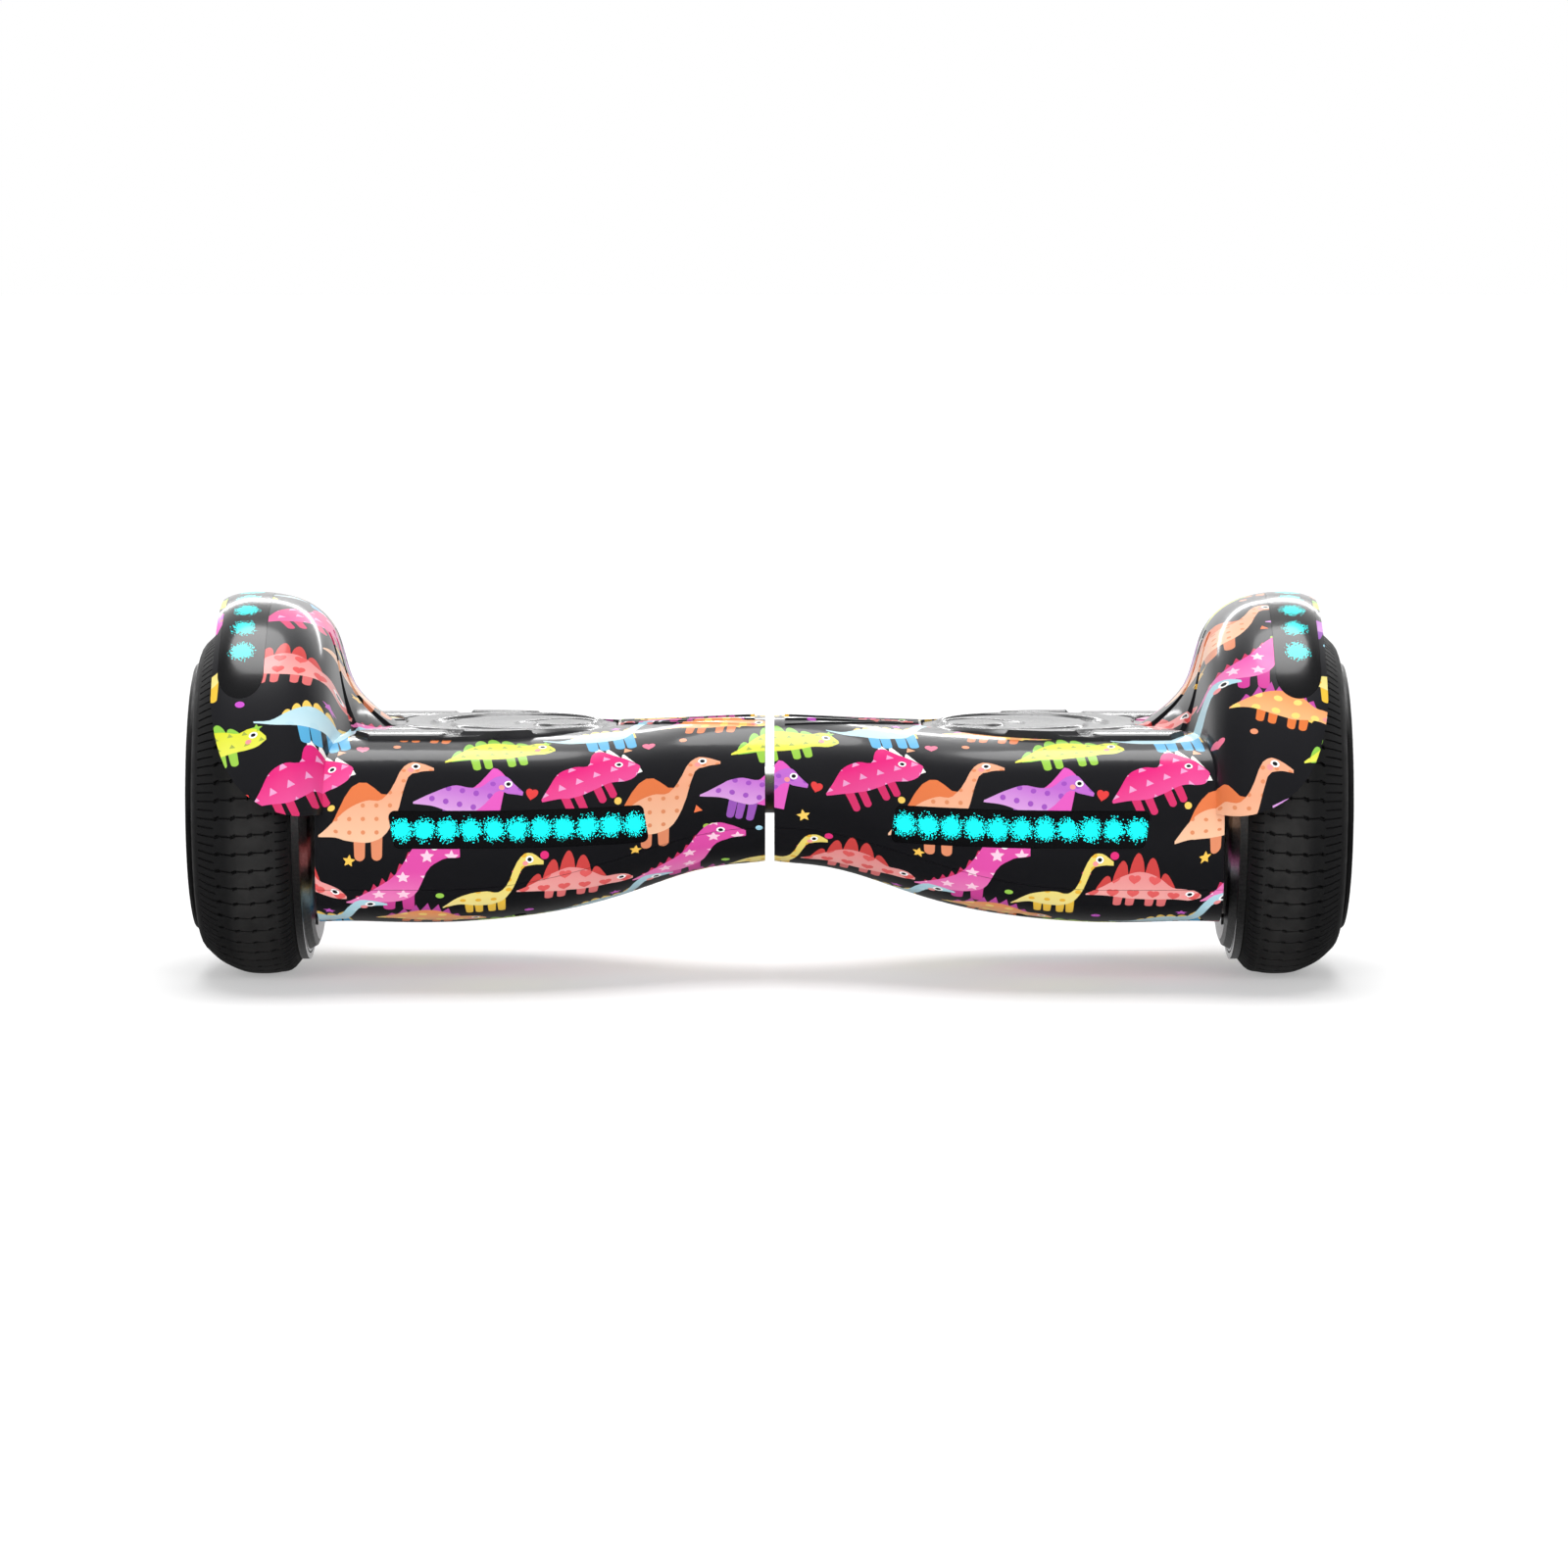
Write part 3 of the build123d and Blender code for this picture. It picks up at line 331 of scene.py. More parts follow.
def printed_shell():
    """Near-black lacquered shell with dinosaurs, stars, hearts and dots."""
    shell = Print(
        "printed_shell", Roughness=0.42, Specular_IOR_Level=0.3, Coat_Weight=0.6, Coat_Roughness=0.13,
        Coat_IOR=1.4,
    )

    for kind, centre, radius, colour, turn in (
        ("star", (16, -6), 3.4, srgb(246, 205, 95), 10),
        ("star", (70, -22), 3.0, srgb(246, 196, 80), -8),
        ("star", (28, 48), 3.0, srgb(150, 205, 75), 0),
        ("star", (101, 24), 2.6, srgb(160, 215, 235), 20),
        ("star", (60, -62), 3.0, srgb(205, 90, 200), 0),
        ("heart", (105, -14), 3.2, srgb(160, 190, 70), 8),
        ("heart", (22, 8), 2.8, srgb(226, 60, 60), -12),
        ("heart", (76, 40), 3.0, srgb(240, 120, 150), 0),
        ("heart", (118, 56), 3.0, srgb(246, 205, 95), 15),
        ("disc", (62, 4), 1.7, srgb(246, 205, 95), 0),
        ("disc", (28, -20), 2.0, srgb(226, 36, 120), 0),
        ("disc", (112, -44), 2.0, srgb(150, 205, 75), 0),
        ("disc", (92, 44), 1.8, srgb(240, 150, 110), 0),
        ("disc", (20, 66), 2.2, srgb(200, 80, 200), 0),
        ("disc", (128, -14), 1.7, srgb(160, 215, 235), 0),
        ("triangle", (66, 38), 2.6, srgb(240, 170, 130), 25),
        ("triangle", (15, -28), 2.6, srgb(226, 36, 120), -10),
        ("triangle", (99, -2), 2.4, srgb(240, 120, 70), 15),
    ):
        shell.loose(kind, centre, radius, colour, turn)

    shell.animal(
        (47, 19), 24, (46, 42),
        top=((0.04, 0.42), (0.14, 0.5), (0.3, 0.64), (0.46, 0.66), (0.58, 0.62), (0.66, 0.76), (0.76, 0.8),
             (0.84, 0.66), (0.93, 0.52), (0.98, 0.4)),
        bottom=((0.04, 0.4), (0.18, 0.36), (0.34, 0.3), (0.5, 0.29), (0.66, 0.3), (0.8, 0.26), (0.9, 0.28),
                (0.98, 0.38)),
        colours=(
            srgb(226, 36, 124), srgb(236, 90, 160), srgb(214, 44, 104),
            srgb(250, 250, 245), srgb(232, 160, 205),
        ),
        legs=(0.24, 0.35, 0.53, 0.63), foot=0.13, crest=(0.7, 0.97, 0.2, 3, True),
        spots=("triangle", 6, 0.26), eye=(0.82, 0.5),
    )
    shell.animal(
        (83, 4), 0, (50, 50),
        top=((0.02, 0.2), (0.14, 0.36), (0.28, 0.48), (0.42, 0.54), (0.56, 0.56), (0.64, 0.68), (0.7, 0.84),
             (0.78, 0.93), (0.86, 0.92), (0.97, 0.86)),
        bottom=((0.02, 0.18), (0.16, 0.22), (0.32, 0.2), (0.46, 0.2), (0.6, 0.3), (0.69, 0.5), (0.75, 0.74),
                (0.84, 0.81), (0.97, 0.83)),
        colours=(
            srgb(240, 170, 135), srgb(246, 196, 160), srgb(226, 140, 100),
            srgb(228, 122, 70), srgb(226, 140, 95),
        ),
        legs=(0.36, 0.5), foot=0.04, leg_width=0.045, crest=(0.12, 0.6, 0.2, 1, False),
        spots=("disc", 9, 0.16),
        eye=(0.82, 0.88), cheek=(0.78, 0.84),
    )
    shell.animal(
        (126, 9), -12, (46, 38),
        top=((0.03, 0.3), (0.18, 0.44), (0.36, 0.58), (0.5, 0.58), (0.6, 0.62), (0.68, 0.76), (0.78, 0.82),
             (0.88, 0.72), (0.97, 0.64)),
        bottom=((0.03, 0.28), (0.2, 0.3), (0.38, 0.28), (0.54, 0.3), (0.66, 0.44), (0.74, 0.6), (0.84, 0.6),
                (0.97, 0.6)),
        colours=(
            srgb(190, 105, 205), srgb(222, 170, 225), srgb(150, 80, 180),
            srgb(226, 90, 190), srgb(160, 80, 190),
        ),
        legs=(0.34, 0.42, 0.52), foot=0.08, crest=(0.5, 0.8, 0.22, 1, True), spots=("disc", 8, 0.2),
        eye=(0.82, 0.72), cheek=(0.77, 0.66),
    )
    shell.animal(
        (6, 42), 10, (48, 40),
        top=((0.02, 0.32), (0.14, 0.42), (0.3, 0.58), (0.48, 0.66), (0.64, 0.6), (0.76, 0.54), (0.86, 0.58),
             (0.94, 0.5), (0.98, 0.4)),
        bottom=((0.02, 0.3), (0.2, 0.32), (0.4, 0.28), (0.6, 0.28), (0.78, 0.3), (0.9, 0.3), (0.98, 0.36)),
        colours=(
            srgb(218, 222, 52), srgb(228, 230, 90), srgb(150, 200, 70),
            srgb(140, 200, 72), srgb(160, 175, 75),
        ),
        legs=(0.28, 0.38, 0.58, 0.68), foot=0.12, crest=(0.08, 0.78, 0.16, 6, False),
        spots=("triangle", 8, 0.24),
        eye=(0.88, 0.47), cheek=(0.83, 0.4),
    )
    shell.animal(
        (95, -34), 0, (50, 46),
        top=((0.03, 0.22), (0.15, 0.32), (0.3, 0.44), (0.44, 0.58), (0.54, 0.76), (0.62, 0.9), (0.74, 0.96),
             (0.86, 0.92), (0.97, 0.84)),
        bottom=((0.03, 0.2), (0.2, 0.2), (0.34, 0.2), (0.5, 0.24), (0.62, 0.38), (0.69, 0.6), (0.8, 0.72),
                (0.97, 0.76)),
        colours=(
            srgb(222, 72, 165), srgb(238, 130, 190), srgb(205, 60, 150),
            srgb(200, 40, 90), srgb(250, 205, 225),
        ),
        legs=(0.38, 0.54), foot=0.04, leg_width=0.05, crest=(0.08, 0.58, 0.1, 7, True),
        spots=("star", 5, 0.3),
        eye=(0.76, 0.86),
    )
    shell.animal(
        (4, -41), 0, (44, 44),
        top=((0.02, 0.22), (0.14, 0.38), (0.3, 0.48), (0.44, 0.5), (0.56, 0.48), (0.64, 0.6), (0.7, 0.8),
             (0.77, 0.92), (0.86, 0.94), (0.97, 0.86)),
        bottom=((0.02, 0.2), (0.18, 0.28), (0.34, 0.25), (0.5, 0.26), (0.6, 0.34), (0.69, 0.54),
                (0.76, 0.76), (0.86, 0.82), (0.97, 0.82)),
        colours=(
            srgb(232, 212, 108), srgb(240, 226, 150), srgb(236, 192, 60),
            srgb(226, 150, 60), srgb(232, 180, 50),
        ),
        legs=(0.27, 0.36, 0.48, 0.57), foot=0.06,
        spots=("disc", 7, 0.2), eye=(0.84, 0.88), cheek=(0.8, 0.84),
    )
    shell.animal(
        (42, -35), -4, (50, 40),
        top=((0.03, 0.3), (0.14, 0.4), (0.3, 0.56), (0.46, 0.64), (0.62, 0.58), (0.74, 0.46), (0.84, 0.46),
             (0.93, 0.42), (0.98, 0.34)),
        bottom=((0.03, 0.28), (0.2, 0.28), (0.4, 0.24), (0.6, 0.24), (0.78, 0.27), (0.9, 0.27),
                (0.98, 0.3)),
        colours=(
            srgb(230, 140, 140), srgb(240, 170, 165), srgb(222, 110, 110),
            srgb(205, 62, 60), srgb(226, 90, 90),
        ),
        legs=(0.3, 0.4, 0.56, 0.66), foot=0.09, crest=(0.1, 0.76, 0.24, 5, False), spots=("heart", 6, 0.3),
        eye=(0.88, 0.38), cheek=(0.84, 0.33),
    )
    shell.animal(
        (58, 62), 8, (58, 48),
        top=((0.01, 0.42), (0.12, 0.38), (0.26, 0.46), (0.42, 0.54), (0.54, 0.52), (0.62, 0.58),
             (0.69, 0.76), (0.77, 0.88), (0.88, 0.86), (0.98, 0.78)),
        bottom=((0.01, 0.4), (0.14, 0.32), (0.3, 0.28), (0.48, 0.28), (0.6, 0.34), (0.69, 0.54),
                (0.76, 0.72), (0.88, 0.76), (0.98, 0.75)),
        colours=(
            srgb(176, 217, 230), srgb(205, 232, 240), srgb(90, 175, 220),
            srgb(246, 205, 95), srgb(190, 224, 235),
        ),
        legs=(0.34, 0.42, 0.53, 0.61), foot=0.08, crest=(0.2, 0.66, 0.1, 6, False), spots=("disc", 6, 0.18),
        eye=(0.86, 0.8), cheek=(0.81, 0.76),
    )
    shell.animal(
        (108, 68), -8, (48, 40),
        top=((0.03, 0.3), (0.14, 0.4), (0.3, 0.56), (0.46, 0.64), (0.62, 0.58), (0.74, 0.46), (0.84, 0.46),
             (0.93, 0.42), (0.98, 0.34)),
        bottom=((0.03, 0.28), (0.2, 0.28), (0.4, 0.24), (0.6, 0.24), (0.78, 0.27), (0.9, 0.27),
                (0.98, 0.3)),
        colours=(
            srgb(240, 150, 90), srgb(246, 186, 130), srgb(224, 120, 60),
            srgb(190, 70, 160), srgb(250, 215, 120),
        ),
        legs=(0.3, 0.4, 0.56, 0.66), foot=0.09, crest=(0.1, 0.76, 0.2, 7, True), spots=("disc", 6, 0.22),
        eye=(0.88, 0.38), cheek=(0.84, 0.33),
    )
    shell.set("Base Color", shell.colour)
    shell.bump(shell.noise(shell.place(), 0.9, 2.0), 0.03)
    return shell.material


# ---------------------------------------------------------------- the lights behind the smoked lenses
LAMP_PITCH = 10.8  # millimetres between the front lamps
FIRST_LAMP = 63.5
LAMP_LINE = 77.5
LAST_LAMP = 10.0  # the front lamps are numbered from 0
LAMP_GLOW = (2.6, 7.4)  # where a lamp's glow starts to fade, and where it ends
FENDER_LIGHT_X = 246.5
FENDER_LIGHT_RADIUS = 96.0
FENDER_LAMP_TURN = 10.0  # degrees between the fender lamps, seen from the axle
FENDER_LAMPS = 4.0  # on each side of the crest
LAMP_BLUE = srgb(23, 255, 255)


def smoked_lens(name, on_fender):
    """Glossy black lens with a row of cyan lamps showing through it, each with a grainy glow."""
    lens = Shader(
        name, Base_Color=srgb(12, 12, 14), Roughness=0.22, Specular_IOR_Level=0.3, Coat_Weight=0.3,
        Coat_Roughness=0.1,
    )
    place = lens.place()
    x, y, z = lens.split(place)
    side = lens.math("ABSOLUTE", x)
    if on_fender:
        rise = lens.math("SUBTRACT", z, AXLE_HEIGHT * 1000)
        turn = lens.math("DIVIDE", lens.math("ARCTAN2", y, rise), radians(FENDER_LAMP_TURN))
        number = lens.math("MAXIMUM", lens.math("ROUND", turn), -FENDER_LAMPS)
        number = lens.math("MINIMUM", number, FENDER_LAMPS)
        pitch = FENDER_LIGHT_RADIUS * radians(FENDER_LAMP_TURN)
        along = lens.math("MULTIPLY", lens.math("SUBTRACT", turn, number), pitch)
        across = lens.math("SUBTRACT", side, FENDER_LIGHT_X)
    else:
        run = lens.math("DIVIDE", lens.math("SUBTRACT", side, FIRST_LAMP), LAMP_PITCH)
        number = lens.math("MINIMUM", lens.math("MAXIMUM", lens.math("ROUND", run), 0.0), LAST_LAMP)
        along = lens.math("MULTIPLY", lens.math("SUBTRACT", run, number), LAMP_PITCH)
        across = lens.math("SUBTRACT", z, LAMP_LINE)
    distance = lens.vector("LENGTH", lens.join(along, across))
    grain = lens.node("ShaderNodeTexWhiteNoise", noise_dimensions="3D")
    lens.feed(grain.inputs["Vector"], lens.vector("FLOOR", lens.vector("MULTIPLY", place, (2.4, 2.4, 2.4))))
    fade = lens.steps(distance, *LAMP_GLOW, 1.0, 0.0)
    glow = lens.math("LESS_THAN", grain.outputs["Value"], lens.math("POWER", fade, 1.7))
    lens.set("Emission Color", LAMP_BLUE)
    lens.set("Emission Strength", lens.math("MULTIPLY", glow, 1.5))
    lens.bump(lens.noise(place, 0.25, 1.0), 0.02)
    return lens.material


# ---------------------------------------------------------------- plastics, rubbers and metals
def textured(
    name, dark, light, roughness, metallic=0.0, grain=2.5, bump=0.15, patch=0.08, rough_change=0.12, **sockets
):
    """A finish with fine grain, slow patches of colour, and uneven roughness."""
    made = Shader(name, Metallic=metallic, **sockets)
    place = made.place()
    slow = made.noise(place, patch, 4.0, 0.6)
    fine = made.noise(place, grain, 4.0, 0.6)
    blend = made.math("MULTIPLY_ADD", fine, 0.5, made.math("MULTIPLY", slow, 0.5))
    made.set("Base Color", made.mix(made.steps(blend, 0.3, 0.7), dark, light))
    made.set("Roughness", made.steps(slow, 0.3, 0.7, roughness - rough_change, roughness + rough_change))
    made.bump(fine, bump)
    return made.material


def turned_metal(name, dark, light, roughness, rings, strength=0.12):
    """Metal turned on a lathe about the axle: fine rings, and a slow mottle."""
    made = Shader(name, Metallic=1.0)
    place = made.place()
    x, y, z = made.split(place)
    rise = made.math("SUBTRACT", z, AXLE_HEIGHT * 1000)
    radius = made.vector("LENGTH", made.join(y, rise))
    ring = made.noise(made.join(radius, x, 0.0), rings, 3.0, 0.7)
    mottle = made.noise(place, 0.7, 4.0, 0.7)
    made.set("Base Color", made.mix(made.steps(mottle, 0.35, 0.65), dark, light))
    made.set("Roughness", made.steps(ring, 0.3, 0.7, roughness - 0.07, roughness + 0.08))
    made.bump(made.math("ADD", ring, made.math("MULTIPLY", mottle, 0.4)), strength)
    return made.material


def pad_rubber():
    """Moulded foot pad rubber: a fine pebble, rubbed smoother where shoes stand."""
    pad = Shader("pad_rubber", Specular_IOR_Level=0.6, Coat_Weight=0.3, Coat_Roughness=0.1)
    place = pad.place()
    pebble = pad.node("ShaderNodeTexVoronoi", feature="SMOOTH_F1")
    pad.feed(pebble.inputs["Vector"], place)
    pebble.inputs["Scale"].default_value = 1.1
    wear = pad.noise(place, 0.035, 4.0, 0.6)
    pad.set("Base Color", pad.mix(pad.steps(wear, 0.35, 0.7), srgb(34, 34, 36), srgb(52, 52, 54)))
    pad.set("Roughness", pad.steps(wear, 0.3, 0.7, 0.3, 0.2))
    pad.bump(pebble.outputs["Distance"], 0.006)
    return pad.material


def tyre_rubber():
    """Matt black rubber, dusty grey on the crown that meets the road."""
    rubber = Shader("tyre", Specular_IOR_Level=0.35)
    place = rubber.place()
    x, y, z = rubber.split(place)
    radius = rubber.vector("LENGTH", rubber.join(y, rubber.math("SUBTRACT", z, AXLE_HEIGHT * 1000)))
    dust = rubber.noise(place, 0.12, 5.0, 0.65)
    fine = rubber.noise(place, 2.2, 3.0, 0.6)
    worn = rubber.math("MULTIPLY", rubber.steps(radius, TYRE_RADIUS * 1000 - 2.2, TYRE_RADIUS * 1000), dust)
    rubber.set("Base Color", rubber.mix(worn, srgb(26, 26, 27), srgb(54, 53, 52)))
    rubber.set("Roughness", rubber.steps(dust, 0.3, 0.7, 0.52, 0.7))
    rubber.bump(fine, 0.12)
    return rubber.material


def battery_wrap():
    """Blue shrink wrap with the round cells showing through it as soft ribs."""
    wrap = Shader("battery_wrap", Roughness=0.35, Coat_Weight=0.3)
    place = wrap.place()
    x, y, z = wrap.split(place)
    cells = wrap.math("SINE", wrap.math("MULTIPLY", x, 2 * pi / 18.6))
    creases = wrap.noise(place, 0.3, 4.0, 0.7)
    wrap.set("Base Color", wrap.mix(wrap.steps(creases, 0.3, 0.7), srgb(18, 60, 128), srgb(36, 92, 168)))
    wrap.bump(wrap.math("ADD", cells, creases), 0.3)
    return wrap.material


def circuit_board():
    """Green solder mask with a fine net of copper tracks."""
    board = Shader("circuit_board", Roughness=0.4, Coat_Weight=0.2)
    place = board.place()
    tracks = board.node("ShaderNodeTexBrick")
    board.feed(tracks.inputs["Vector"], place)
    for socket, value in (
        ("Scale", 0.35),
        ("Mortar Size", 0.03),
        ("Color1", srgb(18, 78, 44)),
        ("Color2", srgb(22, 92, 50)),
        ("Mortar", srgb(60, 130, 70)),
    ):
        tracks.inputs[socket].default_value = value
    board.set("Base Color", tracks.outputs[0])
    board.bump(tracks.outputs[1], 0.2)
    return board.material


def windings():
    """Enamelled copper wire, wound tightly about each stator tooth."""
    wire = Shader("copper", Metallic=1.0, Roughness=0.28, Coat_Weight=0.5)
    place = wire.place()
    x, y, z = wire.split(place)
    radius = wire.vector("LENGTH", wire.join(y, wire.math("SUBTRACT", z, AXLE_HEIGHT * 1000)))
    strand = wire.math("SINE", wire.math("MULTIPLY", radius, 2 * pi / 0.8))
    wire.set("Base Color", wire.mix(wire.noise(place, 0.8), srgb(176, 92, 48), srgb(214, 128, 76)))
    wire.bump(strand, 0.5, 0.3 * MM)
    return wire.material


FINISHES = {
    "printed_shell": printed_shell(),
    "smoked_lens": smoked_lens("smoked_lens", False),
    "lamp_strip": textured("lamp_strip", srgb(214, 214, 206), srgb(238, 238, 232), 0.4, grain=0.8),
    "black_plastic": textured(
        "black_plastic", srgb(13, 13, 14), srgb(23, 23, 24), 0.38, grain=3.2, bump=0.1,
        Specular_IOR_Level=0.35,
    ),
    "pad_rubber": pad_rubber(),
    "cap_rubber": textured("cap_rubber", srgb(24, 24, 25), srgb(36, 36, 37), 0.6, grain=2.0),
    "cable_rubber": textured("cable_rubber", srgb(20, 20, 21), srgb(34, 34, 35), 0.5, grain=1.4),
    "tyre": tyre_rubber(),
    "satin_silver": turned_metal("satin_silver", srgb(196, 197, 198), srgb(222, 222, 222), 0.42, 1.4),
    "cast_aluminium": textured(
        "cast_aluminium", srgb(140, 142, 144), srgb(184, 186, 188), 0.5, 1.0, grain=0.9, bump=0.4, patch=0.05
    ),
    "steel": textured("steel", srgb(150, 151, 153), srgb(196, 197, 199), 0.3, 1.0, grain=1.6, bump=0.06),
    "core_steel": turned_metal("core_steel", srgb(96, 98, 102), srgb(132, 134, 138), 0.45, 3.0, 0.3),
    "magnet_plate": textured("magnet_plate", srgb(120, 118, 112), srgb(168, 165, 158), 0.28, 1.0, grain=0.6),
    "copper": windings(),
    "bronze": textured("bronze", srgb(120, 84, 44), srgb(176, 128, 70), 0.42, 1.0, grain=1.2),
    "battery_wrap": battery_wrap(),
    "circuit_board": circuit_board(),
    "chrome_trim": textured(
        "chrome_trim", srgb(206, 208, 210), srgb(228, 229, 230), 0.14, 1.0, rough_change=0.05, bump=0.02
    ),
}
fender_lens = smoked_lens("fender_lens", True)

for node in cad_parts.values():
    for slot in node.material_slots:
        slot.material = FINISHES[slot.material.name.split(".")[0]]
for side in SIDES:
    paint(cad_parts[f"{side}_fender_light_lens"], fender_lens)
paint(
    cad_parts["pivot_tube"],
    textured("pivot_tube", srgb(206, 207, 208), srgb(232, 232, 232), 0.32, 1.0, grain=1.2, bump=0.03),
)


# ---------------------------------------------------------------- the tyres, with their tread cut in
# In millimetres where nothing else is said. Places along the tyre are measured from its inner face.
TREAD_PITCH = 6.0  # degrees between the grooves that cross the crown
GROOVE_DEPTH = 1.2
SIPE_DEPTH = 0.9
DENT_DEPTH = 1.7
DENT_REACH = 1.1  # half a dent's length along the tyre
GROOVE_RAMP = 0.15  # half the width over which a groove's end comes down
STEP_LEAN = 0.55  # degrees that the grooves step back at each row of dents
STEP_SOFTNESS = 0.25
SHOULDER = 72  # no groove is cut below this radius
UNDER_CAD = 0.9997  # keeps the tread inside its CAD solid's box
CROWN = ((0, 77.5), (3.8, 82.2), (10.8, 84.4), (18.8, 85), (26.8, 84.2), (32.8, 82), (39.8, 78), (45.2, 73))
SIDEWALL = (
    (46.5, 71.1), (47.3, 69), (46.9, 66.6), (46.2, 64.4), (44.8, 63.2), (42.8, 62.5), (42.8, 58), (0, 58),
)
CROWN_GROOVE = (8.2, 37.0)
INNER_SIPE = (1.6, 7.0)
OUTER_SIPE = (36.2, 44.0)
DENTS = (10.8, 18.6, 26.6, 34.4)
ROW_GAP = 1.8  # between the plain rows of the grid along the tyre
LAST_ROW = 45.2
# Shares of one pitch round the tyre: where the grid's columns stand, and what is cut between which.
COLUMNS = (-0.06, -0.045, 0, 0.015, 0.085, 0.1, 0.145, 0.16, 0.325, 0.5, 0.515, 0.585, 0.6, 0.775)
GROOVE_SHARE = (0.015, 0.085)
EXTRA_SIPE_SHARE = (0.515, 0.585)
DENT_SHARE = (-0.045, 0.145)


def inside(value, span):
    return (value >= span[0] - 1e-6) & (value <= span[1] + 1e-6)


def tyre(side):
    """A tyre as one skin whose grid follows the stepped grooves, so that each groove has its own walls."""
    low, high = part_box(f"{side}_tyre")
    out = SIDES[side]
    inner_face = (low.x if out > 0 else high.x) / MM

    rows = set(np.arange(0, LAST_ROW + 0.1, ROW_GAP).round(2).tolist()) | {LAST_ROW}
    dents = [(d - DENT_REACH, d + DENT_REACH) for d in DENTS]
    for start, end in (CROWN_GROOVE, INNER_SIPE, OUTER_SIPE, *dents):
        rows |= {start - GROOVE_RAMP, start + GROOVE_RAMP, end - GROOVE_RAMP, end + GROOVE_RAMP}
    rows = np.array(sorted(rows))
    crown = smooth(CROWN, 200)
    across = np.array([(x, height_on(crown, x)) for x in rows] + [*SIDEWALL])
    ahead = np.roll(across, -1, 0) - np.roll(across, 1, 0)
    inward = np.stack([ahead[:, 1], -ahead[:, 0]], 1) / np.linalg.norm(ahead, axis=1)[:, None]

    steps_passed = sum(1 / (1 + np.exp(-(across[:, 0] - d) / STEP_SOFTNESS)) for d in DENTS)
    on_crown = across[:, 1] > SHOULDER
    lean = -STEP_LEAN * steps_passed * on_crown
    share = np.array(COLUMNS)
    groove = inside(share, GROOVE_SHARE)
    sipe = groove | inside(share, EXTRA_SIPE_SHARE)
    dent = inside(share, DENT_SHARE)

    x = across[:, 0]

    def within(span):
        return inside(x, (span[0] + GROOVE_RAMP, span[1] - GROOVE_RAMP)) & on_crown

    depth = np.zeros((len(x), len(share)))
    depth[np.outer(within(CROWN_GROOVE), groove)] = GROOVE_DEPTH
    depth[np.outer(within(INNER_SIPE) | within(OUTER_SIPE), sipe)] = SIPE_DEPTH
    for span in dents:
        depth[np.outer(within(span), dent)] = DENT_DEPTH

    pitches = round(360 / TREAD_PITCH)
    turn = (np.arange(pitches)[:, None] + share[None, :]).ravel() * TREAD_PITCH
    depth = np.tile(depth, (1, pitches))
    where_x = across[:, 0, None] + inward[:, 0, None] * depth
    where_r = across[:, 1, None] * UNDER_CAD + inward[:, 1, None] * depth
    angle = np.radians(turn[None, :] + lean[:, None])
    points = np.stack(
        [inner_face + out * where_x, -where_r * np.cos(angle), AXLE_HEIGHT / MM + where_r * np.sin(angle)], -1
    )
    count_x, count_a = where_x.shape
    index = np.arange(count_x * count_a).reshape(count_x, count_a)
    corners = [index, np.roll(index, -1, 1), np.roll(np.roll(index, -1, 1), -1, 0), np.roll(index, -1, 0)]
    faces = np.stack(corners, -1).reshape(-1, 4)
    if out > 0:
        faces = faces[:, ::-1]
    mesh = bpy.data.meshes.new(f"{side}_tyre_tread")
    mesh.from_pydata((points.reshape(-1, 3) * MM).tolist(), [], faces.tolist())
    mesh.shade_smooth()
    mesh.set_sharp_from_angle(angle=radians(35))
    mesh.materials.append(FINISHES["tyre"])
    piece = bpy.data.objects.new(f"{side}_tyre_tread", mesh)
    bpy.context.scene.collection.objects.link(piece)
    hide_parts(f"{side}_tyre")
    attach(piece, f"{side}_wheel")


for side in SIDES:
    tyre(side)


# ---------------------------------------------------------------- the foot pads, with their moulded relief
# In millimetres. Places are measured from the middle of the board.
PAD_ROWS = 200
PAD_STEPS = 230
PAD_EDGE = 1.3  # how far in from its edge the pad starts to round off
PAD_RELIEF = 2.2  # how far the pad's plain top lies under its CAD solid's top
NEAR_END, FAR_END = 160.5, 170  # the outline's two ends lie inward and outward of these
# each oval's centre, half length, half depth and level, from the outermost in
OVALS = (
    (127.5, 51.5, 49, 1.9),
    (120.2, 42.7, 41.5, -1.1),
    (116.2, 37.7, 36, 1.4),
    (101.5, 21.5, 20.5, -0.9),
    (98.2, 16.4, 15.6, 1.4),
)
OVAL_RAMP = 3.4
BOWL_DEPTH, BOWL_RAMP = 0.7, 16.0
FLUTE_LINES = (-48, -25, 0, 25, 48)
FLUTE_HALF_WIDTH = 10.8
FLUTE_HEIGHT = 1.9
BAR_HEIGHT = 2.15


def ramp(distance, width):
    """0 below zero, 1 over the width, and a smooth run between."""
    t = np.clip(distance / width, 0, 1)
    return t * t * (3 - 2 * t)


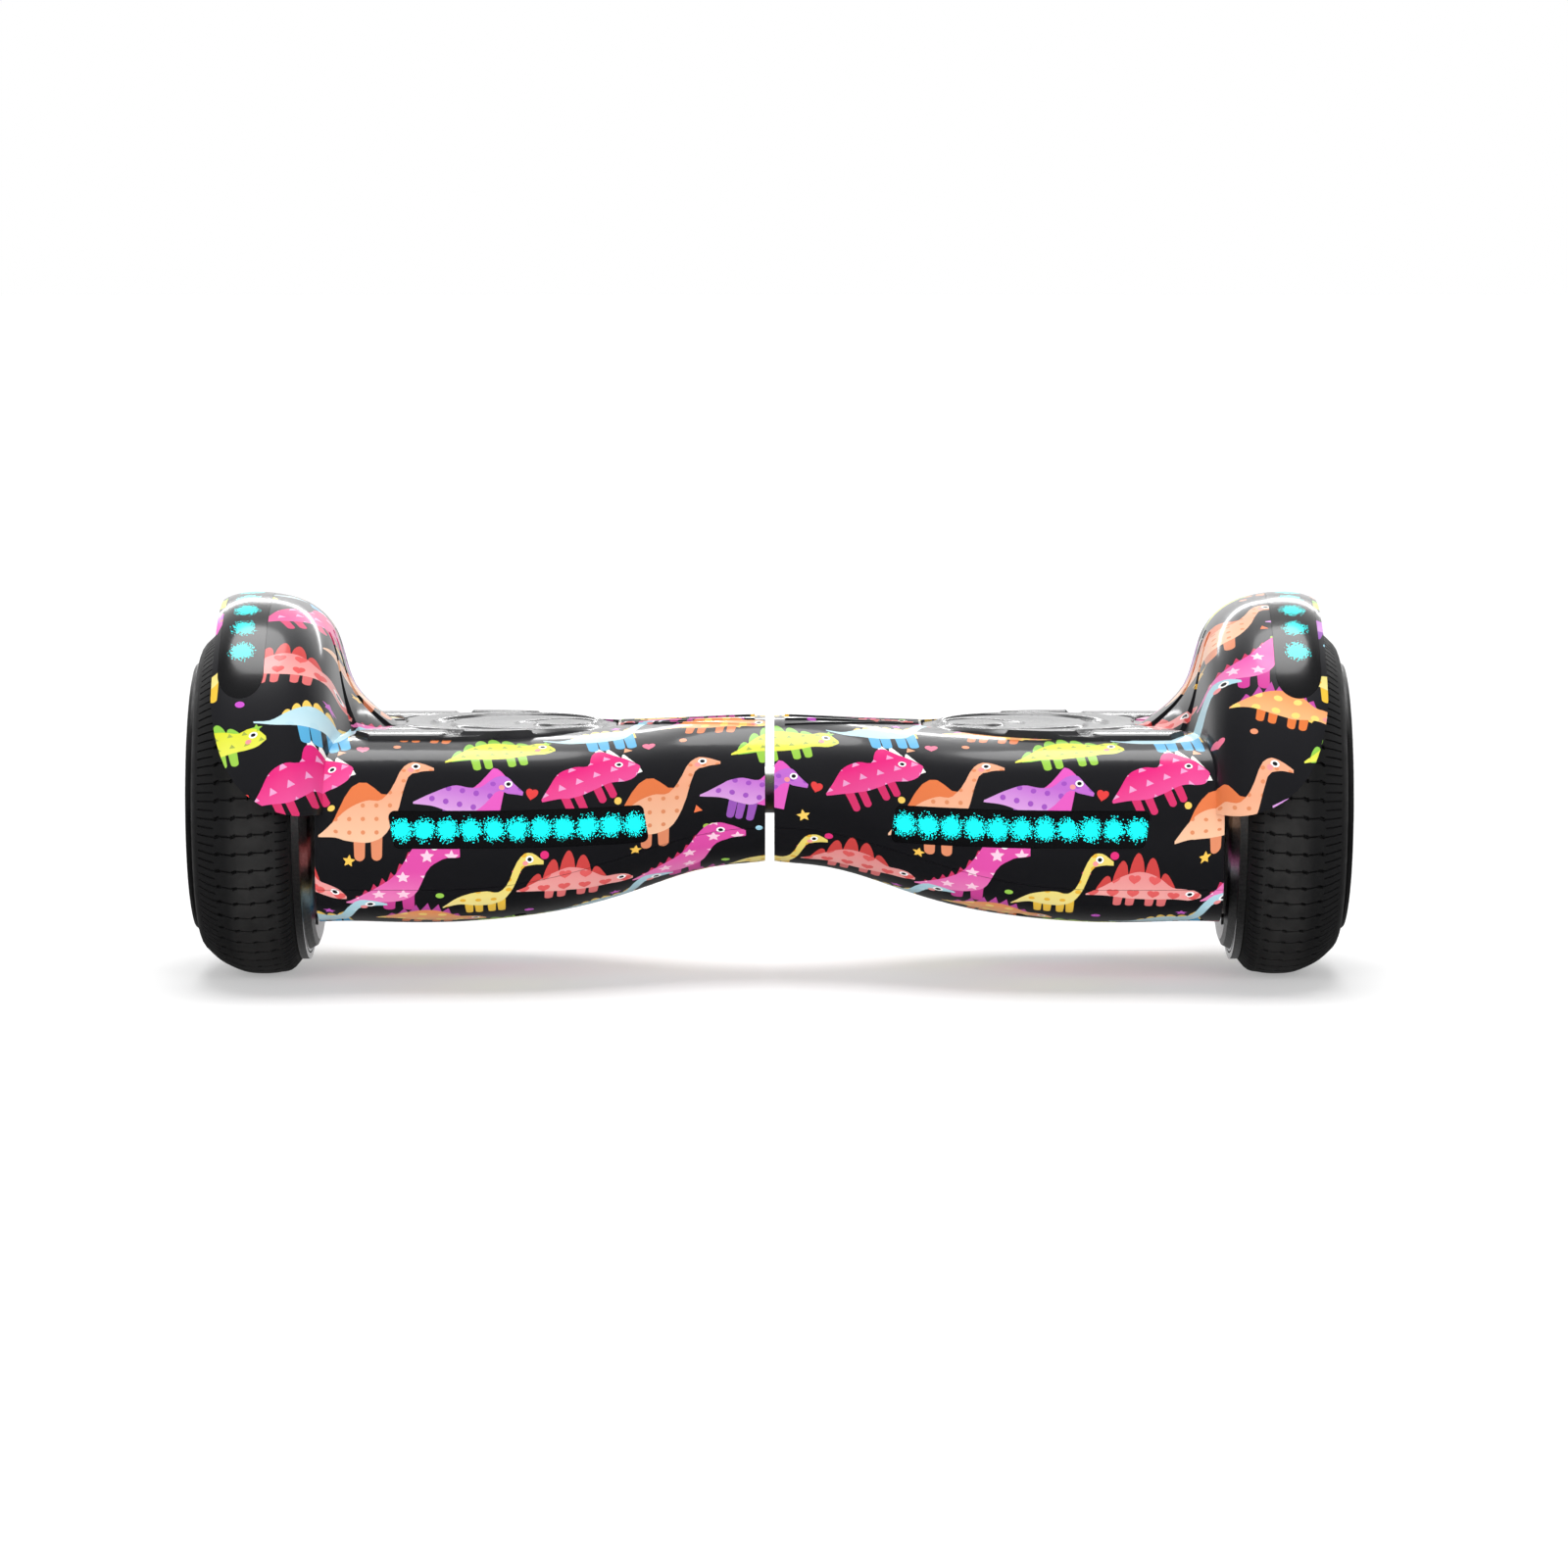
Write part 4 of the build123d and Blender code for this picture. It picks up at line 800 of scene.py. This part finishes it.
def pad_height(x, y):
    """How far the pad's relief stands over its plain top, in millimetres."""
    ridges = sum(np.clip(1 - ((y - line) / FLUTE_HALF_WIDTH) ** 2, 0, 1) for line in FLUTE_LINES)
    outside_ovals = ramp(x - 149, 4) * ramp(np.hypot((x - 126) / 53, y / 47) - 1.0, 0.03)
    height = ridges**0.6 * FLUTE_HEIGHT * outside_ovals
    for centre, half_length, half_depth, level in OVALS:
        out = (1 - np.hypot((x - centre) / half_length, y / half_depth)) * min(half_length, half_depth)
        share = ramp(out, OVAL_RAMP)
        bowl = BOWL_DEPTH * ramp(out - OVAL_RAMP, BOWL_RAMP) * (level > 1)
        height = height * (1 - share) + (level - bowl) * share
    bar = ramp(17 - abs(x - 128), 1.2) * ramp(abs(y) - 46.5, 1.0) * ramp(56 - abs(y), 1.0)
    return np.maximum(height, BAR_HEIGHT * bar)


def foot_pad(side):
    """A rubber pad over the outline of its CAD solid, with soft-edged ovals, flutes and bars."""
    out = SIDES[side]
    points = np.array([v.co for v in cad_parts[f"{side}_foot_pad"].data.vertices]) / MM
    points[:, 0] *= out
    base, top = points[:, 2].min(), points[:, 2].max()
    outline = points[points[:, 2] < base + 0.05]
    outline = outline[np.argsort(outline[:, 1])]
    near, far = outline[outline[:, 0] < NEAR_END], outline[outline[:, 0] > FAR_END]
    reach = outline[:, 1].max()
    y = np.linspace(-reach, reach, PAD_ROWS)
    first, last = np.interp(y, near[:, 1], near[:, 0]), np.interp(y, far[:, 1], far[:, 0])
    u = np.linspace(0, 1, PAD_STEPS)
    x = first[:, None] + (last - first)[:, None] * u[None, :]
    y = np.repeat(y[:, None], PAD_STEPS, 1)
    to_edge = np.minimum(np.minimum(x - first[:, None], last[:, None] - x) * 0.8, reach - abs(y))
    plain = top - PAD_RELIEF
    z = plain + pad_height(x, y) * ramp(to_edge, 1.0) - 0.8 * (1 - np.clip(to_edge / PAD_EDGE, 0, 1)) ** 2
    grid = np.stack([out * x, y, z], -1).reshape(-1, 3)
    index = np.arange(PAD_ROWS * PAD_STEPS).reshape(PAD_ROWS, PAD_STEPS)
    faces = np.stack([index[:-1, :-1], index[:-1, 1:], index[1:, 1:], index[1:, :-1]], -1).reshape(-1, 4)
    rim = np.concatenate([index[0, :-1], index[:-1, -1], index[-1, :0:-1], index[:0:-1, 0]])
    low = grid[rim].copy()
    low[:, 2] = base
    under = np.arange(len(rim)) + len(grid)
    wall = np.stack([rim, under, np.roll(under, -1), np.roll(rim, -1)], -1)
    faces = np.concatenate([faces, wall])
    if out < 0:
        faces = faces[:, ::-1]
        under = under[::-1]
    mesh = bpy.data.meshes.new(f"{side}_foot_pad_rubber")
    mesh.from_pydata((np.concatenate([grid, low]) * MM).tolist(), [], faces.tolist() + [under[::-1].tolist()])
    mesh.shade_smooth()
    mesh.set_sharp_from_angle(angle=radians(50))
    mesh.materials.append(FINISHES["pad_rubber"])
    piece = bpy.data.objects.new(f"{side}_foot_pad_rubber", mesh)
    bpy.context.scene.collection.objects.link(piece)
    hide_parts(f"{side}_foot_pad")
    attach(piece, f"{side}_pedal")


for side in SIDES:
    foot_pad(side)


# ---------------------------------------------------------------- floor, light and camera
BOARD_MIDDLE = (0, 0, 0.1)


def floor():
    """Pale paper that the board's gloss doesn't mirror."""
    paper = Shader("floor", Base_Color=(0.62, 0.62, 0.62, 1), Roughness=0.9, Specular_IOR_Level=0.0)
    paper.set("Emission Color", (1, 1, 1, 1))
    paper.set("Emission Strength", 0.34)
    size = 12.0
    mesh = bpy.data.meshes.new("floor")
    corners = [(-size, -size, 0), (size, -size, 0), (size, size, 0), (-size, size, 0)]
    mesh.from_pydata(corners, [], [(0, 1, 2, 3)])
    mesh.materials.append(paper.material)
    made = bpy.data.objects.new("floor", mesh)
    bpy.context.scene.collection.objects.link(made)
    made.visible_glossy = False


def softbox(name, place, size, power):
    """A lit panel that faces the board."""
    light = bpy.data.lights.new(name, "AREA")
    light.shape = "RECTANGLE"
    light.size, light.size_y = size
    light.energy = power
    made = bpy.data.objects.new(name, light)
    made.location = place
    made.rotation_mode = "QUATERNION"
    made.rotation_quaternion = (Vector(BOARD_MIDDLE) - Vector(place)).to_track_quat("-Z", "Y")
    bpy.context.scene.collection.objects.link(made)
    return made


def sky():
    """A plain studio: white to the camera, and as a light bright behind, and dim in front and below."""
    world = bpy.data.worlds.new("studio")
    world.use_nodes = True
    tree = world.node_tree

    def node(kind, **inputs):
        made = tree.nodes.new(kind)
        for socket, value in inputs.items():
            target = made.inputs[int(socket[1:])]
            if isinstance(value, bpy.types.NodeSocket):
                tree.links.new(value, target)
            else:
                target.default_value = value
        return made

    towards = tree.nodes.new("ShaderNodeTexCoord").outputs["Generated"]
    direction = node("ShaderNodeSeparateXYZ", _0=towards).outputs
    behind = node("ShaderNodeMapRange", _0=direction[1], _1=0.12, _2=0.8, _3=0.14, _4=1.15).outputs[0]
    above = node("ShaderNodeMapRange", _0=direction[2], _1=0.3, _2=1.0, _3=0.0, _4=0.1).outputs[0]
    level = node("ShaderNodeMapRange", _0=direction[2], _1=-0.3, _2=0.04, _3=0.12, _4=1.0).outputs[0]
    back = node("ShaderNodeMath", _0=behind, _1=level)
    back.operation = "MULTIPLY"
    both = node("ShaderNodeMath", _0=back.outputs[0], _1=above).outputs[0]
    path = tree.nodes.new("ShaderNodeLightPath")
    strength = node("ShaderNodeMix", _0=path.outputs["Is Camera Ray"], _2=both, _3=1.0).outputs[0]
    tree.links.new(strength, tree.nodes["Background"].inputs["Strength"])
    tree.nodes["Background"].inputs["Color"].default_value = (1, 1, 1, 1)
    bpy.context.scene.world = world


def sun():
    """Soft light from almost overhead."""
    light = bpy.data.lights.new("sun", "SUN")
    light.energy = 2.3
    light.angle = radians(38)
    made = bpy.data.objects.new("sun", light)
    made.rotation_euler = (radians(-8), 0, 0)
    bpy.context.scene.collection.objects.link(made)


def camera():
    """Low in front of the board and a little above it, with a long lens."""
    elevation = radians(6)
    distance = 3.0
    aim = Vector((0.0068, 0, 0.0906))
    data = bpy.data.cameras.new("camera")
    data.lens = 144
    data.sensor_width = 36
    made = bpy.data.objects.new("camera", data)
    made.location = aim + Vector((0, -distance * cos(elevation), distance * sin(elevation)))
    made.rotation_mode = "QUATERNION"
    made.rotation_quaternion = (aim - made.location).to_track_quat("-Z", "Y")
    bpy.context.scene.collection.objects.link(made)
    bpy.context.scene.camera = made


floor()
sky()
camera()
softbox("strip_behind", (0, 1.7, 1.12), (2.6, 0.13), 17).visible_diffuse = False
softbox("front_left", (-1.3, -2.2, 1.1), (1.4, 1.4), 26).visible_glossy = False
softbox("front_right", (1.3, -2.2, 1.1), (1.4, 1.4), 26).visible_glossy = False
sun()
bpy.context.scene.view_settings.view_transform = "Standard"

bpy.context.view_layer.update()
